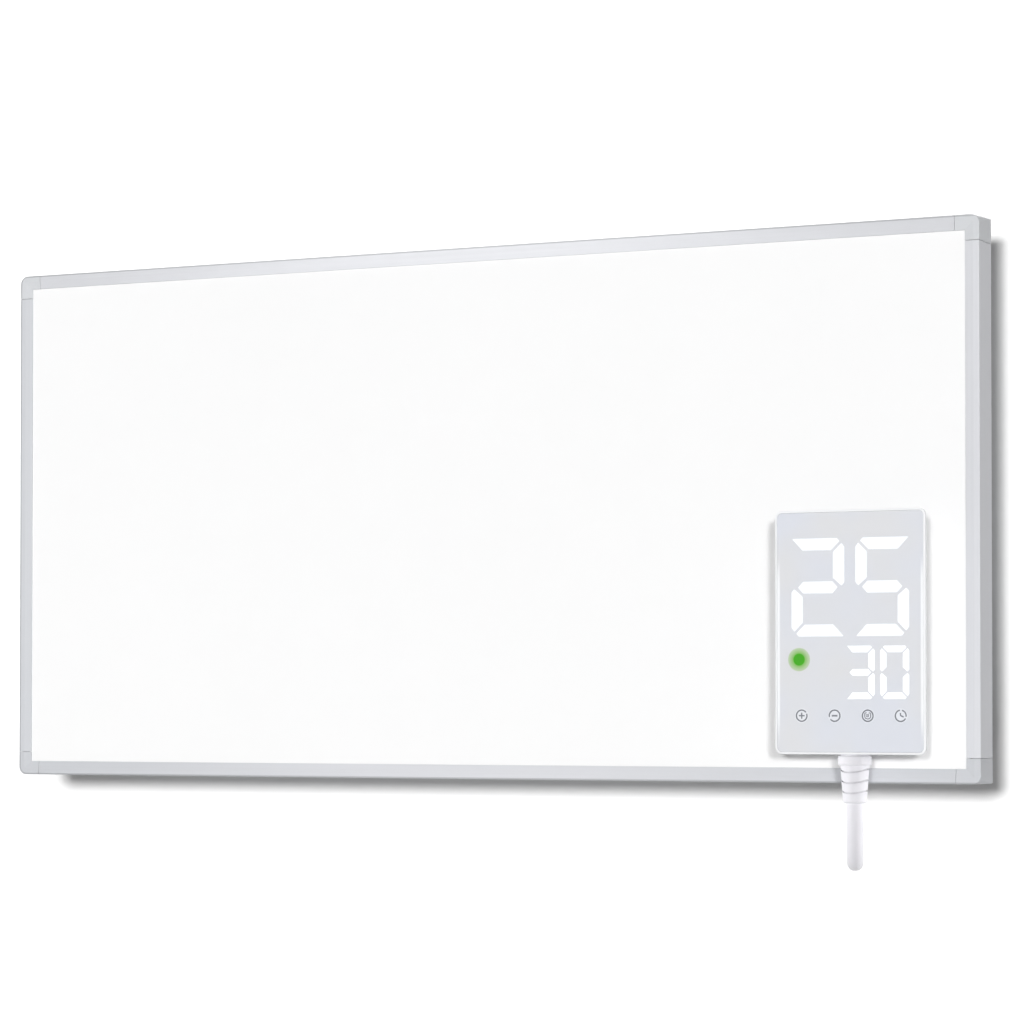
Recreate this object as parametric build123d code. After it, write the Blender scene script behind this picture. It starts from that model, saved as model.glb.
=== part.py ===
from build123d import *

import math
import os

# Infrared panel heater on its wall rail, with a touch control unit that hangs in front of the
# panel's lower right corner. All sizes are in millimetres.
# +X is to the viewer's right, +Y goes into the wall and +Z is up. The wall is the plane Y = 0,
# and the origin is the middle of the rail's screw line on that plane.

# ---------------------------------------------------------------- panel
PANEL_WIDTH = 600.0
PANEL_HEIGHT = 300.0
PANEL_DEPTH = 21.0
WALL_GAP = 35.0  # rear of the frame to the wall
RAIL_DROP = 60.0  # top edge of the panel down to the rail's screw line

# frame profile: u runs inwards from the outer edge, v runs back from the front
PROFILE_FACE = 8.0
PROFILE_FLAT = 3.4
BEVEL_DEPTH = 0.7
LIP_THICK = 1.4
PROFILE_WALL = 1.2
CHAMBER_WIDTH = 3.6
CORNER_ARM = 13.5
CORNER_RADIUS = 4.8  # at the front, where the corner covers are rounded
CORNER_REAR_RADIUS = 0.8
SEAM_GAP = 0.2  # between a rail's end and its corner cover
TENON_LENGTH = 12.0
TENON_CLEARANCE = 0.1
CORNER_SCREW_SETBACK = 6.0  # end of a rail to its screw
CORNER_SCREW_RADIUS = 1.2
CORNER_SCREW_LENGTH = 7.0
CORNER_SCREW_HEAD_RADIUS = 2.0
CORNER_SCREW_HEAD_HEIGHT = 1.2

# what the frame holds, from front to rear
PLATE_THICK = 1.2
FILM_THICK = 0.6
FOIL_THICK = 0.3
COVER_THICK = 0.8
EDGE_CLEARANCE = 0.3
FILM_INSET = 12.0  # edge of the front plate to the busbars
BUSBAR_WIDTH = 8.0
BEAD_LENGTH = 440.0
BEAD_WIDTH = 12.0
BEAD_HEIGHT = 1.2
BEAD_DROPS = (100.0, 150.0)  # top edge of the panel down to each bead

# ---------------------------------------------------------------- wall rail and hangers
SHEET = 2.0  # steel of the rail and the hangers
BEND_RADIUS = 1.0  # inside of each bend
RAIL_LENGTH = 460.0
RAIL_HEIGHT = 32.0
RAIL_REACH = 18.0  # wall to the front of the rail's lip
RAIL_LIP = 14.0  # height of the lip over the shelf
SCREW_SPACING = 400.0
SCREW_HOLE_RADIUS = 3.0
HANGER_LENGTH = 80.0
HANGER_SPACING = 300.0
HANGER_WEB = 28.0
HOOK_DEPTH = 10.0  # how far the hanger's lip reaches behind the rail's lip
HOOK_SLACK = 1.2  # between the two lips

RIVET_RADIUS = 1.6
RIVET_HEAD_RADIUS = 3.2
RIVET_HEAD_HEIGHT = 1.2
RIVET_BULB_RADIUS = 2.3
RIVET_BULB_LENGTH = 2.5
RIVETS_PER_HANGER = 3
RIVET_PITCH = 28.0

SPACER_SIDE_INSET = 22.0  # side of the panel to the middle of a wall spacer
SPACER_BOTTOM_INSET = 24.0
SPACER_BASE_RADIUS = 10.0
SPACER_TIP_RADIUS = 7.5
SPACER_FLANGE = 2.0
SPACER_STEM_RADIUS = 3.0
SPACER_STEM_LENGTH = 7.0

# ---------------------------------------------------------------- control unit
CONTROL_WIDTH = 83.6
CONTROL_HEIGHT = 129.0
CONTROL_DEPTH = 18.0
CONTROL_RADIUS = 3.8
CONTROL_SIDE_INSET = 22.1  # right edge of the panel to the control unit's right side
CONTROL_BOTTOM_INSET = 15.6
CONTROL_GAP = 6.0  # front of the frame to the control unit's back
BEZEL_DEPTH = 5.0
BEZEL_RIM = 1.1
BEZEL_EDGE_RADIUS = 0.4
BEZEL_LAND = 1.4  # depth of the bezel's straight edge, before its sides slope in
BEZEL_TAPER = 2.2  # how far the sides and the top have sloped in at the rear
GLASS_THICK = 1.1
GLASS_RECESS = 0.2
GLASS_CLEARANCE = 0.1
WINDOW_SIDE_INSET = 7.65
WINDOW_END_INSET = 12.0
SHELL_INSET = 6.0  # sides and top of the rear shell, in from the bezel's outline
SHELL_BOTTOM_INSET = 1.0
SHELL_WALL = 2.0
SHELL_RADIUS = 4.0
SHELL_EDGE_RADIUS = 1.2

POST_X = 29.5
POST_Z = 53.2
POST_RADIUS = 3.0
POST_BORE_RADIUS = 1.3
BOSS_RADIUS = 4.4
BOSS_HEIGHT = 3.0
POCKET_RADIUS = 3.0
POCKET_DEPTH = 3.0
CONTROL_SCREW_RADIUS = 1.25
CONTROL_SCREW_LENGTH = 8.0
CONTROL_SCREW_HEAD_RADIUS = 2.6
CONTROL_SCREW_HEAD_HEIGHT = 1.8

BOARD_THICK = 1.6
BOARD_WIDTH = 65.0
BOARD_HEIGHT = 99.0
BOARD_STANDOFF = 9.0
STANDOFF_RADIUS = 2.5
STANDOFFS = ((-30.0, 8.0), (30.0, 8.0), (-30.0, -46.0), (30.0, -46.0))

DISPLAY_WIDTH = 67.0
DISPLAY_TOP = 52.0
DISPLAY_SPLIT = -4.0  # the large digits end here and the small ones start
DISPLAY_BOTTOM = -38.0
DISPLAY_SMALL_LEFT = -3.0
INDICATOR_X = -28.3
INDICATOR_Z = -14.5
INDICATOR_RADIUS = 3.1
KEY_XS = (-26.9, -8.4, 9.9, 28.1)
KEY_Z = -44.1
KEY_SPRING_RADIUS = 3.0
KEY_SPRING_WIRE = 0.7

VENT_COUNT = 6
VENT_WIDTH = 26.0
VENT_SLOT = 2.0
VENT_PITCH = 4.5
VENT_TOP = -22.0

RELAY_SIZE = (20.0, 28.0)
RELAY_DEPTH = 8.5
RELAY_X = 16.0
POWER_SIZE = (30.0, 32.0)
POWER_DEPTH = 8.0
POWER_X = -11.0
BOARD_PARTS_Z = -2.0
SENSOR_RADIUS = 1.5
SENSOR_LENGTH = 6.0
SENSOR_X = 20.0
SENSOR_Z = -40.0

# keyhole studs that carry the control unit
STUD_X = 24.0
STUD_Z = 36.0
STUD_NECK_RADIUS = 2.0
STUD_HEAD_RADIUS = 4.0
STUD_HEAD_HEIGHT = 2.0
STUD_HEAD_GAP = 0.6  # back wall of the shell to the stud's head
STUD_TAIL = 6.0  # length behind the front plate
STUD_SPACER_RADIUS = 6.0
STUD_SPACER_GAP = 0.3
STUD_SPACER_BORE_CLEARANCE = 0.1
NUT_RADIUS = 4.6
NUT_HEIGHT = 3.2
STUD_CLEARING_RADIUS = 9.0  # free space in the film, foil and insulation round a nut
STUD_CLEARING_DEPTH = 8.0
KEYHOLE_CLEARANCE = 0.3
KEYHOLE_ENTRY_RADIUS = 4.6
CONTROL_LIFT = 8.0  # travel from hanging to the keyholes' entries

# ---------------------------------------------------------------- lead from the control unit to the panel
LEAD_DIAMETER = 8.9
LEAD_SETBACK = 8.0  # the lead's middle behind the control unit's face
LEAD_LOOP_TURN = 19.3  # degrees from straight back, towards the panel's middle
# Corners of the lead in the plane of its loop: how far behind the front leg, and how far
# below the control unit's bottom edge.
LEAD_ROUTE = (
    (0.0, -14.0),
    (0.0, 41.2),
    (17.4, 58.6),
    (41.9, 58.6),
    (59.3, 41.2),
    (59.3, -14.4),
)
LEAD_ARC_SHARE = 0.45  # of the shorter run beside a corner
HELD_CLEARANCE = 0.05
LEAD_RUNNING_CLEARANCE = 0.3

RELIEF_NECK_RADIUS = 5.4
RELIEF_FLANGE_RADIUS = 6.2
RELIEF_FLANGE_HEIGHT = 2.0
RELIEF_SHOULDER_RADIUS = 7.6
RELIEF_SHOULDER_HEIGHT = 0.6
RELIEF_COLLAR_RADIUS = 8.9
RELIEF_COLLAR_HEIGHT = 5.2
RELIEF_COLLAR_ROUND = 1.1
RELIEF_TOP_RADIUS = 7.7
RELIEF_TIP_RADIUS = 6.2
RELIEF_LENGTH = 25.8
RELIEF_TIP_ROUND = 1.4
RELIEF_GROOVE_DROPS = (9.4, 15.0, 20.4)
RELIEF_GROOVE_HEIGHT = 0.8
RELIEF_GROOVE_DEPTH = 1.0
RELIEF_GROOVE_SAG = 2.3  # from the sleeve's sides down to its front and back
CLAMP_WALL = 1.8
CLAMP_WIDTH = 26.0
CLAMP_EAR = 1.8
CLAMP_HEIGHT = 5.0
CLAMP_SETBACK = 8.0  # bottom edge of the control unit up to the clamp

# ---------------------------------------------------------------- terminal box behind the panel
BOX_WIDTH = 100.0
BOX_HEIGHT = 60.0
BOX_WALL_GAP = 4.0
BOX_WALL = 2.2
BOX_RADIUS = 5.0
BOX_LID_EDGE = 0.8
BOX_BOTTOM_INSET = 18.0
BOX_LEAD_OFFSET = 16.0  # the box's middle to the lead
BOX_POST_RADIUS = 4.0
BOX_POST_INSET = 6.0
BOX_POST_BORE_RADIUS = 1.4
BOX_SCREW_RADIUS = 1.35
BOX_SCREW_LENGTH = 10.0
BOX_SCREW_HEAD_RADIUS = 3.0
BOX_SCREW_HEAD_HEIGHT = 1.8
BOX_RIVET_X = 38.0
BOX_RIVET_Z = 17.0
LEAD_GROMMET_RADIUS = 6.2
LEAD_GROMMET_FLANGE = 8.0
LEAD_GROMMET_LIP = 1.6
GROMMET_CLEARANCE = 0.05

GLAND_OFFSET = 40.0  # the lead to the mains gland
GLAND_SETBACK = 15.0  # rear of the frame to the gland's middle
GLAND_BORE_RADIUS = 3.6
GLAND_THREAD_RADIUS = 6.0
GLAND_FLANGE_RADIUS = 8.0
GLAND_FLANGE_HEIGHT = 2.0
GLAND_NUT_RADIUS = 9.0
GLAND_NUT_HEIGHT = 6.0
GLAND_CAP_RADIUS = 7.6
GLAND_CAP_HEIGHT = 9.0
GLAND_CAP_BEVEL = 2.0

BLOCK_SIZE = (46.0, 18.0)
BLOCK_DEPTH = 15.0
BLOCK_OFFSET = -14.0  # the box's middle to the terminal block
BLOCK_WAYS = 4
BLOCK_SCREW_RADIUS = 2.2
BLOCK_SCREW_DEPTH = 6.0
EARTH_OFFSET = 34.0
EARTH_RISE = 20.0
EARTH_RADIUS = 2.0
EARTH_LENGTH = 12.0

WIRE_RADIUS = 1.3
WIRE_SPACING = 5.0
WIRE_HOLE_RADIUS = 6.0
WIRE_GROMMET_FLANGE = 8.0
WIRE_GROMMET_BORE = 4.6
WIRE_GROMMET_LIP = 1.5
WIRE_HOLE_CLEARANCE = 0.6

CUTOUT_OFFSET = 22.0  # the box's middle to the thermal cutout
CUTOUT_RADIUS = 8.0
CUTOUT_HEIGHT = 6.0
CUTOUT_CAP_RADIUS = 5.5
CUTOUT_CAP_HEIGHT = 1.5
BRACKET_WIDTH = 10.0
BRACKET_SHEET = 0.8
BRACKET_TOP = 20.0
BRACKET_FOOT = 7.0
POCKET_CLEARANCE = 1.5

# ---------------------------------------------------------------- places worked out from the sizes
REAR_Y = -WALL_GAP
FRONT_Y = REAR_Y - PANEL_DEPTH
TOP_Z = RAIL_DROP
BOTTOM_Z = TOP_Z - PANEL_HEIGHT
CHANNEL_U = 2 * PROFILE_WALL + CHAMBER_WIDTH

PLATE_FRONT_Y = FRONT_Y + LIP_THICK
FILM_FRONT_Y = PLATE_FRONT_Y + PLATE_THICK
FOIL_FRONT_Y = FILM_FRONT_Y + FILM_THICK
BOARD_FRONT_Y = FOIL_FRONT_Y + FOIL_THICK  # front of the insulation
COVER_REAR_Y = REAR_Y - LIP_THICK
COVER_FRONT_Y = COVER_REAR_Y - COVER_THICK

INNER_WIDTH = PANEL_WIDTH - 2 * (CHANNEL_U + EDGE_CLEARANCE)
INNER_HEIGHT = PANEL_HEIGHT - 2 * (CHANNEL_U + EDGE_CLEARANCE)
MIDDLE_Z = (TOP_Z + BOTTOM_Z) / 2

RAIL_SHELF_Z = RAIL_HEIGHT / 2
RAIL_LIP_TOP_Z = RAIL_SHELF_Z + RAIL_LIP
HANGER_XS = (-HANGER_SPACING / 2, HANGER_SPACING / 2)
RIVET_Z = RAIL_LIP_TOP_Z + SHEET - HANGER_WEB / 2

BACK_Y = FRONT_Y - CONTROL_GAP
FACE_Y = BACK_Y - CONTROL_DEPTH
BEZEL_REAR_Y = FACE_Y + BEZEL_DEPTH
GLASS_FRONT_Y = FACE_Y + GLASS_RECESS
GLASS_REAR_Y = GLASS_FRONT_Y + GLASS_THICK
SHELL_FLOOR_Y = BACK_Y - SHELL_WALL
BOARD_REAR_Y = SHELL_FLOOR_Y - BOARD_STANDOFF
BOARD_FACE_Y = BOARD_REAR_Y - BOARD_THICK
POST_END_Y = SHELL_FLOOR_Y - BOSS_HEIGHT
CONTROL_X = PANEL_WIDTH / 2 - CONTROL_SIDE_INSET - CONTROL_WIDTH / 2
CONTROL_BOTTOM_Z = BOTTOM_Z + CONTROL_BOTTOM_INSET
CONTROL_Z = CONTROL_BOTTOM_Z + CONTROL_HEIGHT / 2
SHELL_HEIGHT = CONTROL_HEIGHT - SHELL_INSET - SHELL_BOTTOM_INSET
SHELL_Z = CONTROL_Z + (SHELL_BOTTOM_INSET - SHELL_INSET) / 2
SPACER_FRONT_Y = BACK_Y + STUD_SPACER_GAP

LEAD_RADIUS = LEAD_DIAMETER / 2
LEAD_Y = FACE_Y + LEAD_SETBACK
LEAD_BACK = (-math.sin(math.radians(LEAD_LOOP_TURN)), math.cos(math.radians(LEAD_LOOP_TURN)))
LEAD_SPAN = LEAD_ROUTE[-1][0]
LEAD_REAR_X = CONTROL_X + LEAD_SPAN * LEAD_BACK[0]
LEAD_REAR_Y = LEAD_Y + LEAD_SPAN * LEAD_BACK[1]

BOX_X = LEAD_REAR_X - BOX_LEAD_OFFSET
BOX_BOTTOM_Z = BOTTOM_Z + BOX_BOTTOM_INSET
BOX_Z = BOX_BOTTOM_Z + BOX_HEIGHT / 2
BOX_FLOOR_Y = COVER_REAR_Y + BOX_WALL
BOX_LID_Y = -BOX_WALL_GAP - BOX_WALL
GLAND_X = LEAD_REAR_X - GLAND_OFFSET
GLAND_Y = REAR_Y + GLAND_SETBACK
BLOCK_X = BOX_X + BLOCK_OFFSET
CUTOUT_X = BOX_X + CUTOUT_OFFSET


# ---------------------------------------------------------------- helpers
def span_box(xs, ys, zs):
    """A box between two values on each axis."""
    middle = Pos(sum(xs) / 2, sum(ys) / 2, sum(zs) / 2)
    return middle * Box(abs(xs[1] - xs[0]), abs(ys[1] - ys[0]), abs(zs[1] - zs[0]))


def slab(outline, rear_y, front_y):
    """A front-view outline given depth, from a rear plane towards the viewer."""
    return extrude(Plane.XZ.offset(-rear_y) * outline, rear_y - front_y)


def pin(x, z, radius, rear_y, front_y):
    """A round bar that points at the viewer."""
    return slab(Pos(x, z) * Circle(radius), rear_y, front_y)


def bar(x, y, radius, low_z, high_z):
    """An upright round bar."""
    return extrude(Plane.XY.offset(low_z) * Pos(x, y) * Circle(radius), high_z - low_z)


def sheet_section(points):
    """The section of bent sheet steel round a centre line of (y, z) points."""
    line = FilletPolyline(*[(y, z) for y, z in points], radius=BEND_RADIUS + SHEET / 2)
    return trace(line, SHEET)


def along_x(section, start_x, length):
    """A (y, z) section drawn out along +X."""
    return extrude(Plane.YZ.offset(start_x) * section, length)


def rounded(face, corners, radius):
    """A face with some of its corners rounded."""
    near = [v for v in face.vertices() if any((Vector(v) - Vector(*c)).length < 1e-6 for c in corners)]
    return fillet(near, radius)


def turned_on_y(points, x, z):
    """A turned piece whose axis points at the viewer, from (radius, y) points."""
    profile = Plane.XY * make_face(Polyline(*points, close=True))
    return Pos(x, 0, z) * revolve(profile, Axis.Y)


def turned_on_z(points, x, y):
    """A turned piece with an upright axis, from (radius, z) points."""
    profile = Plane.XZ * make_face(Polyline(*points, close=True))
    return Pos(x, y, 0) * revolve(profile, Axis.Z)


def screw(x, z, seat_y, head_radius, head_height, radius, length):
    """A screw driven in from behind."""
    head_y = seat_y + head_height
    tip_y = seat_y - length
    points = (
        (0, head_y),
        (head_radius, head_y),
        (head_radius, seat_y),
        (radius, seat_y),
        (radius, tip_y),
        (0, tip_y),
    )
    return turned_on_y(points, x, z)


def group(pieces):
    """Several separate solids in one node."""
    return Compound(children=[solid for piece in pieces for solid in piece.solids()])


def cut_all(body, tools):
    """A body less each of the tools."""
    for tool in tools:
        body = body - tool
    return body


# ---------------------------------------------------------------- frame
def profile_section(hollow):
    """The frame's section in (u, v), with its chamber if it is hollow."""
    rear = PANEL_DEPTH
    outline = make_face(
        Polyline(
            (0, 0),
            (PROFILE_FLAT, 0),
            (PROFILE_FACE, BEVEL_DEPTH),
            (PROFILE_FACE, LIP_THICK),
            (CHANNEL_U, LIP_THICK),
            (CHANNEL_U, rear - LIP_THICK),
            (PROFILE_FACE, rear - LIP_THICK),
            (PROFILE_FACE, rear),
            (0, rear),
            close=True,
        )
    )
    if not hollow:
        return outline
    chamber = Pos(CHANNEL_U / 2, rear / 2) * Rectangle(CHAMBER_WIDTH, rear - 2 * LIP_THICK)
    return outline - chamber


def drawn_profile(section, start, inwards, length):
    """The section drawn out from a start point on the outer front edge."""
    across = Vector(*inwards)
    plane = Plane(origin=start, x_dir=across, z_dir=across.cross(Vector(0, 1, 0)))
    return extrude(plane * section, length)


def corner_screw_places():
    """Where the corner screws go in, one near each end of each rail."""
    u = CHANNEL_U / 2
    along = CORNER_ARM + CORNER_SCREW_SETBACK
    places = []
    for side_x in (-1, 1):
        for side_z, edge_z in ((-1, BOTTOM_Z), (1, TOP_Z)):
            places.append((side_x * (PANEL_WIDTH / 2 - along), edge_z - side_z * u))
            places.append((side_x * (PANEL_WIDTH / 2 - u), edge_z - side_z * along))
    return places


def corner_screw_holes():
    radius = CORNER_SCREW_RADIUS + TENON_CLEARANCE
    front_y = REAR_Y - CORNER_SCREW_LENGTH - TENON_CLEARANCE
    return [pin(x, z, radius, REAR_Y, front_y) for x, z in corner_screw_places()]


def frame_rails():
    """The four hollow aluminium rails, between the corner covers."""
    section = profile_section(hollow=True)
    half_x = PANEL_WIDTH / 2
    arm = CORNER_ARM + SEAM_GAP
    wide = PANEL_WIDTH - 2 * arm
    high = PANEL_HEIGHT - 2 * arm
    starts = {
        "frame_top": ((-half_x + arm, FRONT_Y, TOP_Z), (0, 0, -1), wide),
        "frame_bottom": ((half_x - arm, FRONT_Y, BOTTOM_Z), (0, 0, 1), wide),
        "frame_left": ((-half_x, FRONT_Y, BOTTOM_Z + arm), (1, 0, 0), high),
        "frame_right": ((half_x, FRONT_Y, TOP_Z - arm), (-1, 0, 0), high),
    }
    holes = corner_screw_holes()
    return {name: cut_all(drawn_profile(section, *place), holes) for name, place in starts.items()}


def corner_envelope():
    """The outside of a corner cover: rounded at the front and nearly square at the rear."""
    size = 2 * (CORNER_ARM + TENON_LENGTH)
    place = Pos(size / 2, size / 2)
    front = Plane.XZ * place * RectangleRounded(size, size, CORNER_RADIUS)
    rear = Plane.XZ.offset(-PANEL_DEPTH) * place * RectangleRounded(size, size, CORNER_REAR_RADIUS)
    return loft([front, rear])


def corner_cover():
    """One moulded corner, with its outer corner at the origin and its arms along +X and +Z."""
    section = profile_section(hollow=False)
    reach = CORNER_ARM
    half = make_face(Polyline((0, 0), (reach, 0), (reach, reach), close=True))
    wedge = slab(half, PANEL_DEPTH, 0)
    lying = drawn_profile(section, (reach, 0, 0), (0, 0, 1), reach) & wedge
    cover = lying + mirror(lying, about=Plane(origin=(0, 0, 0), z_dir=(1, 0, -1)))
    cover = cover & corner_envelope()
    us = (PROFILE_WALL + TENON_CLEARANCE, PROFILE_WALL + CHAMBER_WIDTH - TENON_CLEARANCE)
    vs = (LIP_THICK + TENON_CLEARANCE, PANEL_DEPTH - LIP_THICK - TENON_CLEARANCE)
    tenon = span_box((reach - 1, reach + TENON_LENGTH), vs, us)
    return cover + tenon + mirror(tenon, about=Plane(origin=(0, 0, 0), z_dir=(1, 0, -1)))


def corner_covers():
    """The four corner covers, mirrored into place."""
    right = corner_cover()
    left_lower = Pos(-PANEL_WIDTH / 2, FRONT_Y, BOTTOM_Z) * right
    right_lower = mirror(left_lower, about=Plane.YZ)
    flip = Plane(origin=(0, 0, MIDDLE_Z), z_dir=(0, 0, 1))
    covers = {
        "corner_bottom_left": left_lower,
        "corner_bottom_right": right_lower,
        "corner_top_left": mirror(left_lower, about=flip),
        "corner_top_right": mirror(right_lower, about=flip),
    }
    holes = corner_screw_holes()
    return {name: cut_all(cover, holes) for name, cover in covers.items()}


def corner_screws():
    head = CORNER_SCREW_HEAD_RADIUS
    shank = CORNER_SCREW_RADIUS
    size = (head, CORNER_SCREW_HEAD_HEIGHT, shank, CORNER_SCREW_LENGTH)
    return group([screw(x, z, REAR_Y, *size) for x, z in corner_screw_places()])


# ---------------------------------------------------------------- what the frame holds
def stud_places():
    return [(CONTROL_X + side * STUD_X, CONTROL_Z + STUD_Z) for side in (-1, 1)]


def spacer_places():
    inset = PANEL_WIDTH / 2 - SPACER_SIDE_INSET
    return [(side * inset, BOTTOM_Z + SPACER_BOTTOM_INSET) for side in (-1, 1)]


def hanger_rivet_places():
    first = -(RIVETS_PER_HANGER - 1) / 2
    offsets = [(first + i) * RIVET_PITCH for i in range(RIVETS_PER_HANGER)]
    return [(x + offset, RIVET_Z) for x in HANGER_XS for offset in offsets]


def box_rivet_places():
    return [(BOX_X + side * BOX_RIVET_X, BOX_Z + BOX_RIVET_Z) for side in (-1, 1)]


def inner_sheet(rear_y, front_y):
    """A sheet that fills the frame's channel."""
    return slab(Pos(0, MIDDLE_Z) * Rectangle(INNER_WIDTH, INNER_HEIGHT), rear_y, front_y)


def stud_clearings(rear_y, front_y):
    return [pin(x, z, STUD_CLEARING_RADIUS, rear_y, front_y) for x, z in stud_places()]


def front_plate():
    plate = inner_sheet(FILM_FRONT_Y, PLATE_FRONT_Y)
    bore = STUD_NECK_RADIUS + STUD_SPACER_BORE_CLEARANCE
    return cut_all(plate, [pin(x, z, bore, FILM_FRONT_Y, PLATE_FRONT_Y) for x, z in stud_places()])


def wire_places():
    return [(BLOCK_X + side * WIRE_SPACING / 2, BOX_Z) for side in (-1, 1)]


def heating_film():
    """The heating laminate between its busbars."""
    wide = INNER_WIDTH - 2 * (FILM_INSET + BUSBAR_WIDTH)
    high = INNER_HEIGHT - 2 * FILM_INSET
    film = slab(Pos(0, MIDDLE_Z) * Rectangle(wide, high), FOIL_FRONT_Y, FILM_FRONT_Y)
    return cut_all(film, stud_clearings(FOIL_FRONT_Y, FILM_FRONT_Y))


def busbars():
    """The two copper strips beside the heating laminate."""
    inner = INNER_WIDTH / 2 - FILM_INSET - BUSBAR_WIDTH
    high = INNER_HEIGHT - 2 * FILM_INSET
    zs = (MIDDLE_Z - high / 2, MIDDLE_Z + high / 2)
    strips = []
    for side in (-1, 1):
        xs = (side * inner, side * (inner + BUSBAR_WIDTH))
        strip = span_box(xs, (FILM_FRONT_Y, FOIL_FRONT_Y), zs)
        strips.append(cut_all(strip, stud_clearings(FOIL_FRONT_Y, FILM_FRONT_Y)))
    return group(strips)


def wire_hole(radius, rear_y, front_y):
    return pin(BLOCK_X, BOX_Z, radius, rear_y, front_y)


def reflector_foil():
    foil = inner_sheet(BOARD_FRONT_Y, FOIL_FRONT_Y)
    holes = stud_clearings(BOARD_FRONT_Y, FOIL_FRONT_Y)
    holes.append(wire_hole(WIRE_GROMMET_BORE, BOARD_FRONT_Y, FOIL_FRONT_Y))
    return cut_all(foil, holes)


def bracket_pocket():
    """Room in the insulation for the thermal cutout and its bracket."""
    half_x = BRACKET_TOP / 2 + BRACKET_FOOT + POCKET_CLEARANCE
    half_z = CUTOUT_RADIUS + POCKET_CLEARANCE
    xs = (CUTOUT_X - half_x, CUTOUT_X + half_x)
    return span_box(xs, (BOARD_FRONT_Y, COVER_FRONT_Y), (BOX_Z - half_z, BOX_Z + half_z))


def insulation_board():
    board = inner_sheet(COVER_FRONT_Y, BOARD_FRONT_Y)
    holes = stud_clearings(BOARD_FRONT_Y + STUD_CLEARING_DEPTH, BOARD_FRONT_Y)
    wire_radius = WIRE_GROMMET_FLANGE + WIRE_HOLE_CLEARANCE
    holes.append(wire_hole(wire_radius, COVER_FRONT_Y, BOARD_FRONT_Y))
    holes.append(bracket_pocket())
    rivet_radius = RIVET_BULB_RADIUS + WIRE_HOLE_CLEARANCE
    rivet_front = COVER_FRONT_Y - RIVET_BULB_LENGTH - WIRE_HOLE_CLEARANCE
    for x, z in hanger_rivet_places() + box_rivet_places():
        holes.append(pin(x, z, rivet_radius, COVER_FRONT_Y, rivet_front))
    stem_front = COVER_REAR_Y - SPACER_STEM_LENGTH - WIRE_HOLE_CLEARANCE
    for x, z in spacer_places():
        holes.append(pin(x, z, SPACER_STEM_RADIUS + WIRE_HOLE_CLEARANCE, COVER_FRONT_Y, stem_front))
    return cut_all(board, holes)


def rear_cover():
    """The sheet-steel back, with two pressed beads."""
    cover = inner_sheet(COVER_REAR_Y, COVER_FRONT_Y)
    for drop in BEAD_DROPS:
        bead = Pos(0, TOP_Z - drop) * SlotOverall(BEAD_LENGTH, BEAD_WIDTH)
        inside = SlotOverall(BEAD_LENGTH - 2 * COVER_THICK, BEAD_WIDTH - 2 * COVER_THICK)
        hollow = Pos(0, TOP_Z - drop) * inside
        cover = cover + slab(bead, COVER_REAR_Y + BEAD_HEIGHT, COVER_REAR_Y)
        cover = cover - slab(hollow, COVER_REAR_Y + BEAD_HEIGHT - COVER_THICK, COVER_FRONT_Y)
    holes = [wire_hole(WIRE_HOLE_RADIUS, COVER_REAR_Y, COVER_FRONT_Y)]
    for x, z in hanger_rivet_places() + box_rivet_places():
        holes.append(pin(x, z, RIVET_RADIUS + HELD_CLEARANCE, COVER_REAR_Y, COVER_FRONT_Y))
    for x, z in spacer_places():
        holes.append(pin(x, z, SPACER_STEM_RADIUS + HELD_CLEARANCE, COVER_REAR_Y, COVER_FRONT_Y))
    return cut_all(cover, holes)


# ---------------------------------------------------------------- wall rail and hangers
def wall_rail():
    """The Z-shaped rail on the wall, with its lip turned up."""
    web_y = -SHEET / 2
    shelf_z = RAIL_SHELF_Z - SHEET / 2
    lip_y = -RAIL_REACH + SHEET / 2
    line = ((web_y, -RAIL_HEIGHT / 2), (web_y, shelf_z), (lip_y, shelf_z), (lip_y, RAIL_LIP_TOP_Z))
    rail = along_x(sheet_section(line), -RAIL_LENGTH / 2, RAIL_LENGTH)
    holes = [pin(side * SCREW_SPACING / 2, 0, SCREW_HOLE_RADIUS, 0, -SHEET) for side in (-1, 1)]
    return cut_all(rail, holes)


def hanger_brackets():
    """Two hooks on the panel's back, which drop over the rail's lip."""
    web_y = COVER_REAR_Y + SHEET / 2
    top_z = RAIL_LIP_TOP_Z + SHEET / 2
    lip_y = -RAIL_REACH + SHEET + HOOK_SLACK + SHEET / 2
    web_bottom = RAIL_LIP_TOP_Z + SHEET - HANGER_WEB
    line = ((web_y, web_bottom), (web_y, top_z), (lip_y, top_z), (lip_y, RAIL_LIP_TOP_Z - HOOK_DEPTH))
    section = sheet_section(line)
    holes = [
        pin(x, z, RIVET_RADIUS + HELD_CLEARANCE, COVER_REAR_Y + SHEET, COVER_REAR_Y)
        for x, z in hanger_rivet_places()
    ]
    hooks = [along_x(section, x - HANGER_LENGTH / 2, HANGER_LENGTH) for x in HANGER_XS]
    return group([cut_all(hook, holes) for hook in hooks])


def rivet(x, z, grip_rear_y):
    """A blind rivet from a rear face through the rear cover."""
    head_y = grip_rear_y + RIVET_HEAD_HEIGHT
    bulb_y = COVER_FRONT_Y - RIVET_BULB_LENGTH
    points = (
        (0, head_y),
        (RIVET_HEAD_RADIUS - RIVET_HEAD_HEIGHT / 2, head_y),
        (RIVET_HEAD_RADIUS, grip_rear_y),
        (RIVET_RADIUS, grip_rear_y),
        (RIVET_RADIUS, COVER_FRONT_Y),
        (RIVET_BULB_RADIUS, COVER_FRONT_Y),
        (RIVET_BULB_RADIUS, bulb_y),
        (0, bulb_y),
    )
    return turned_on_y(points, x, z)


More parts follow.
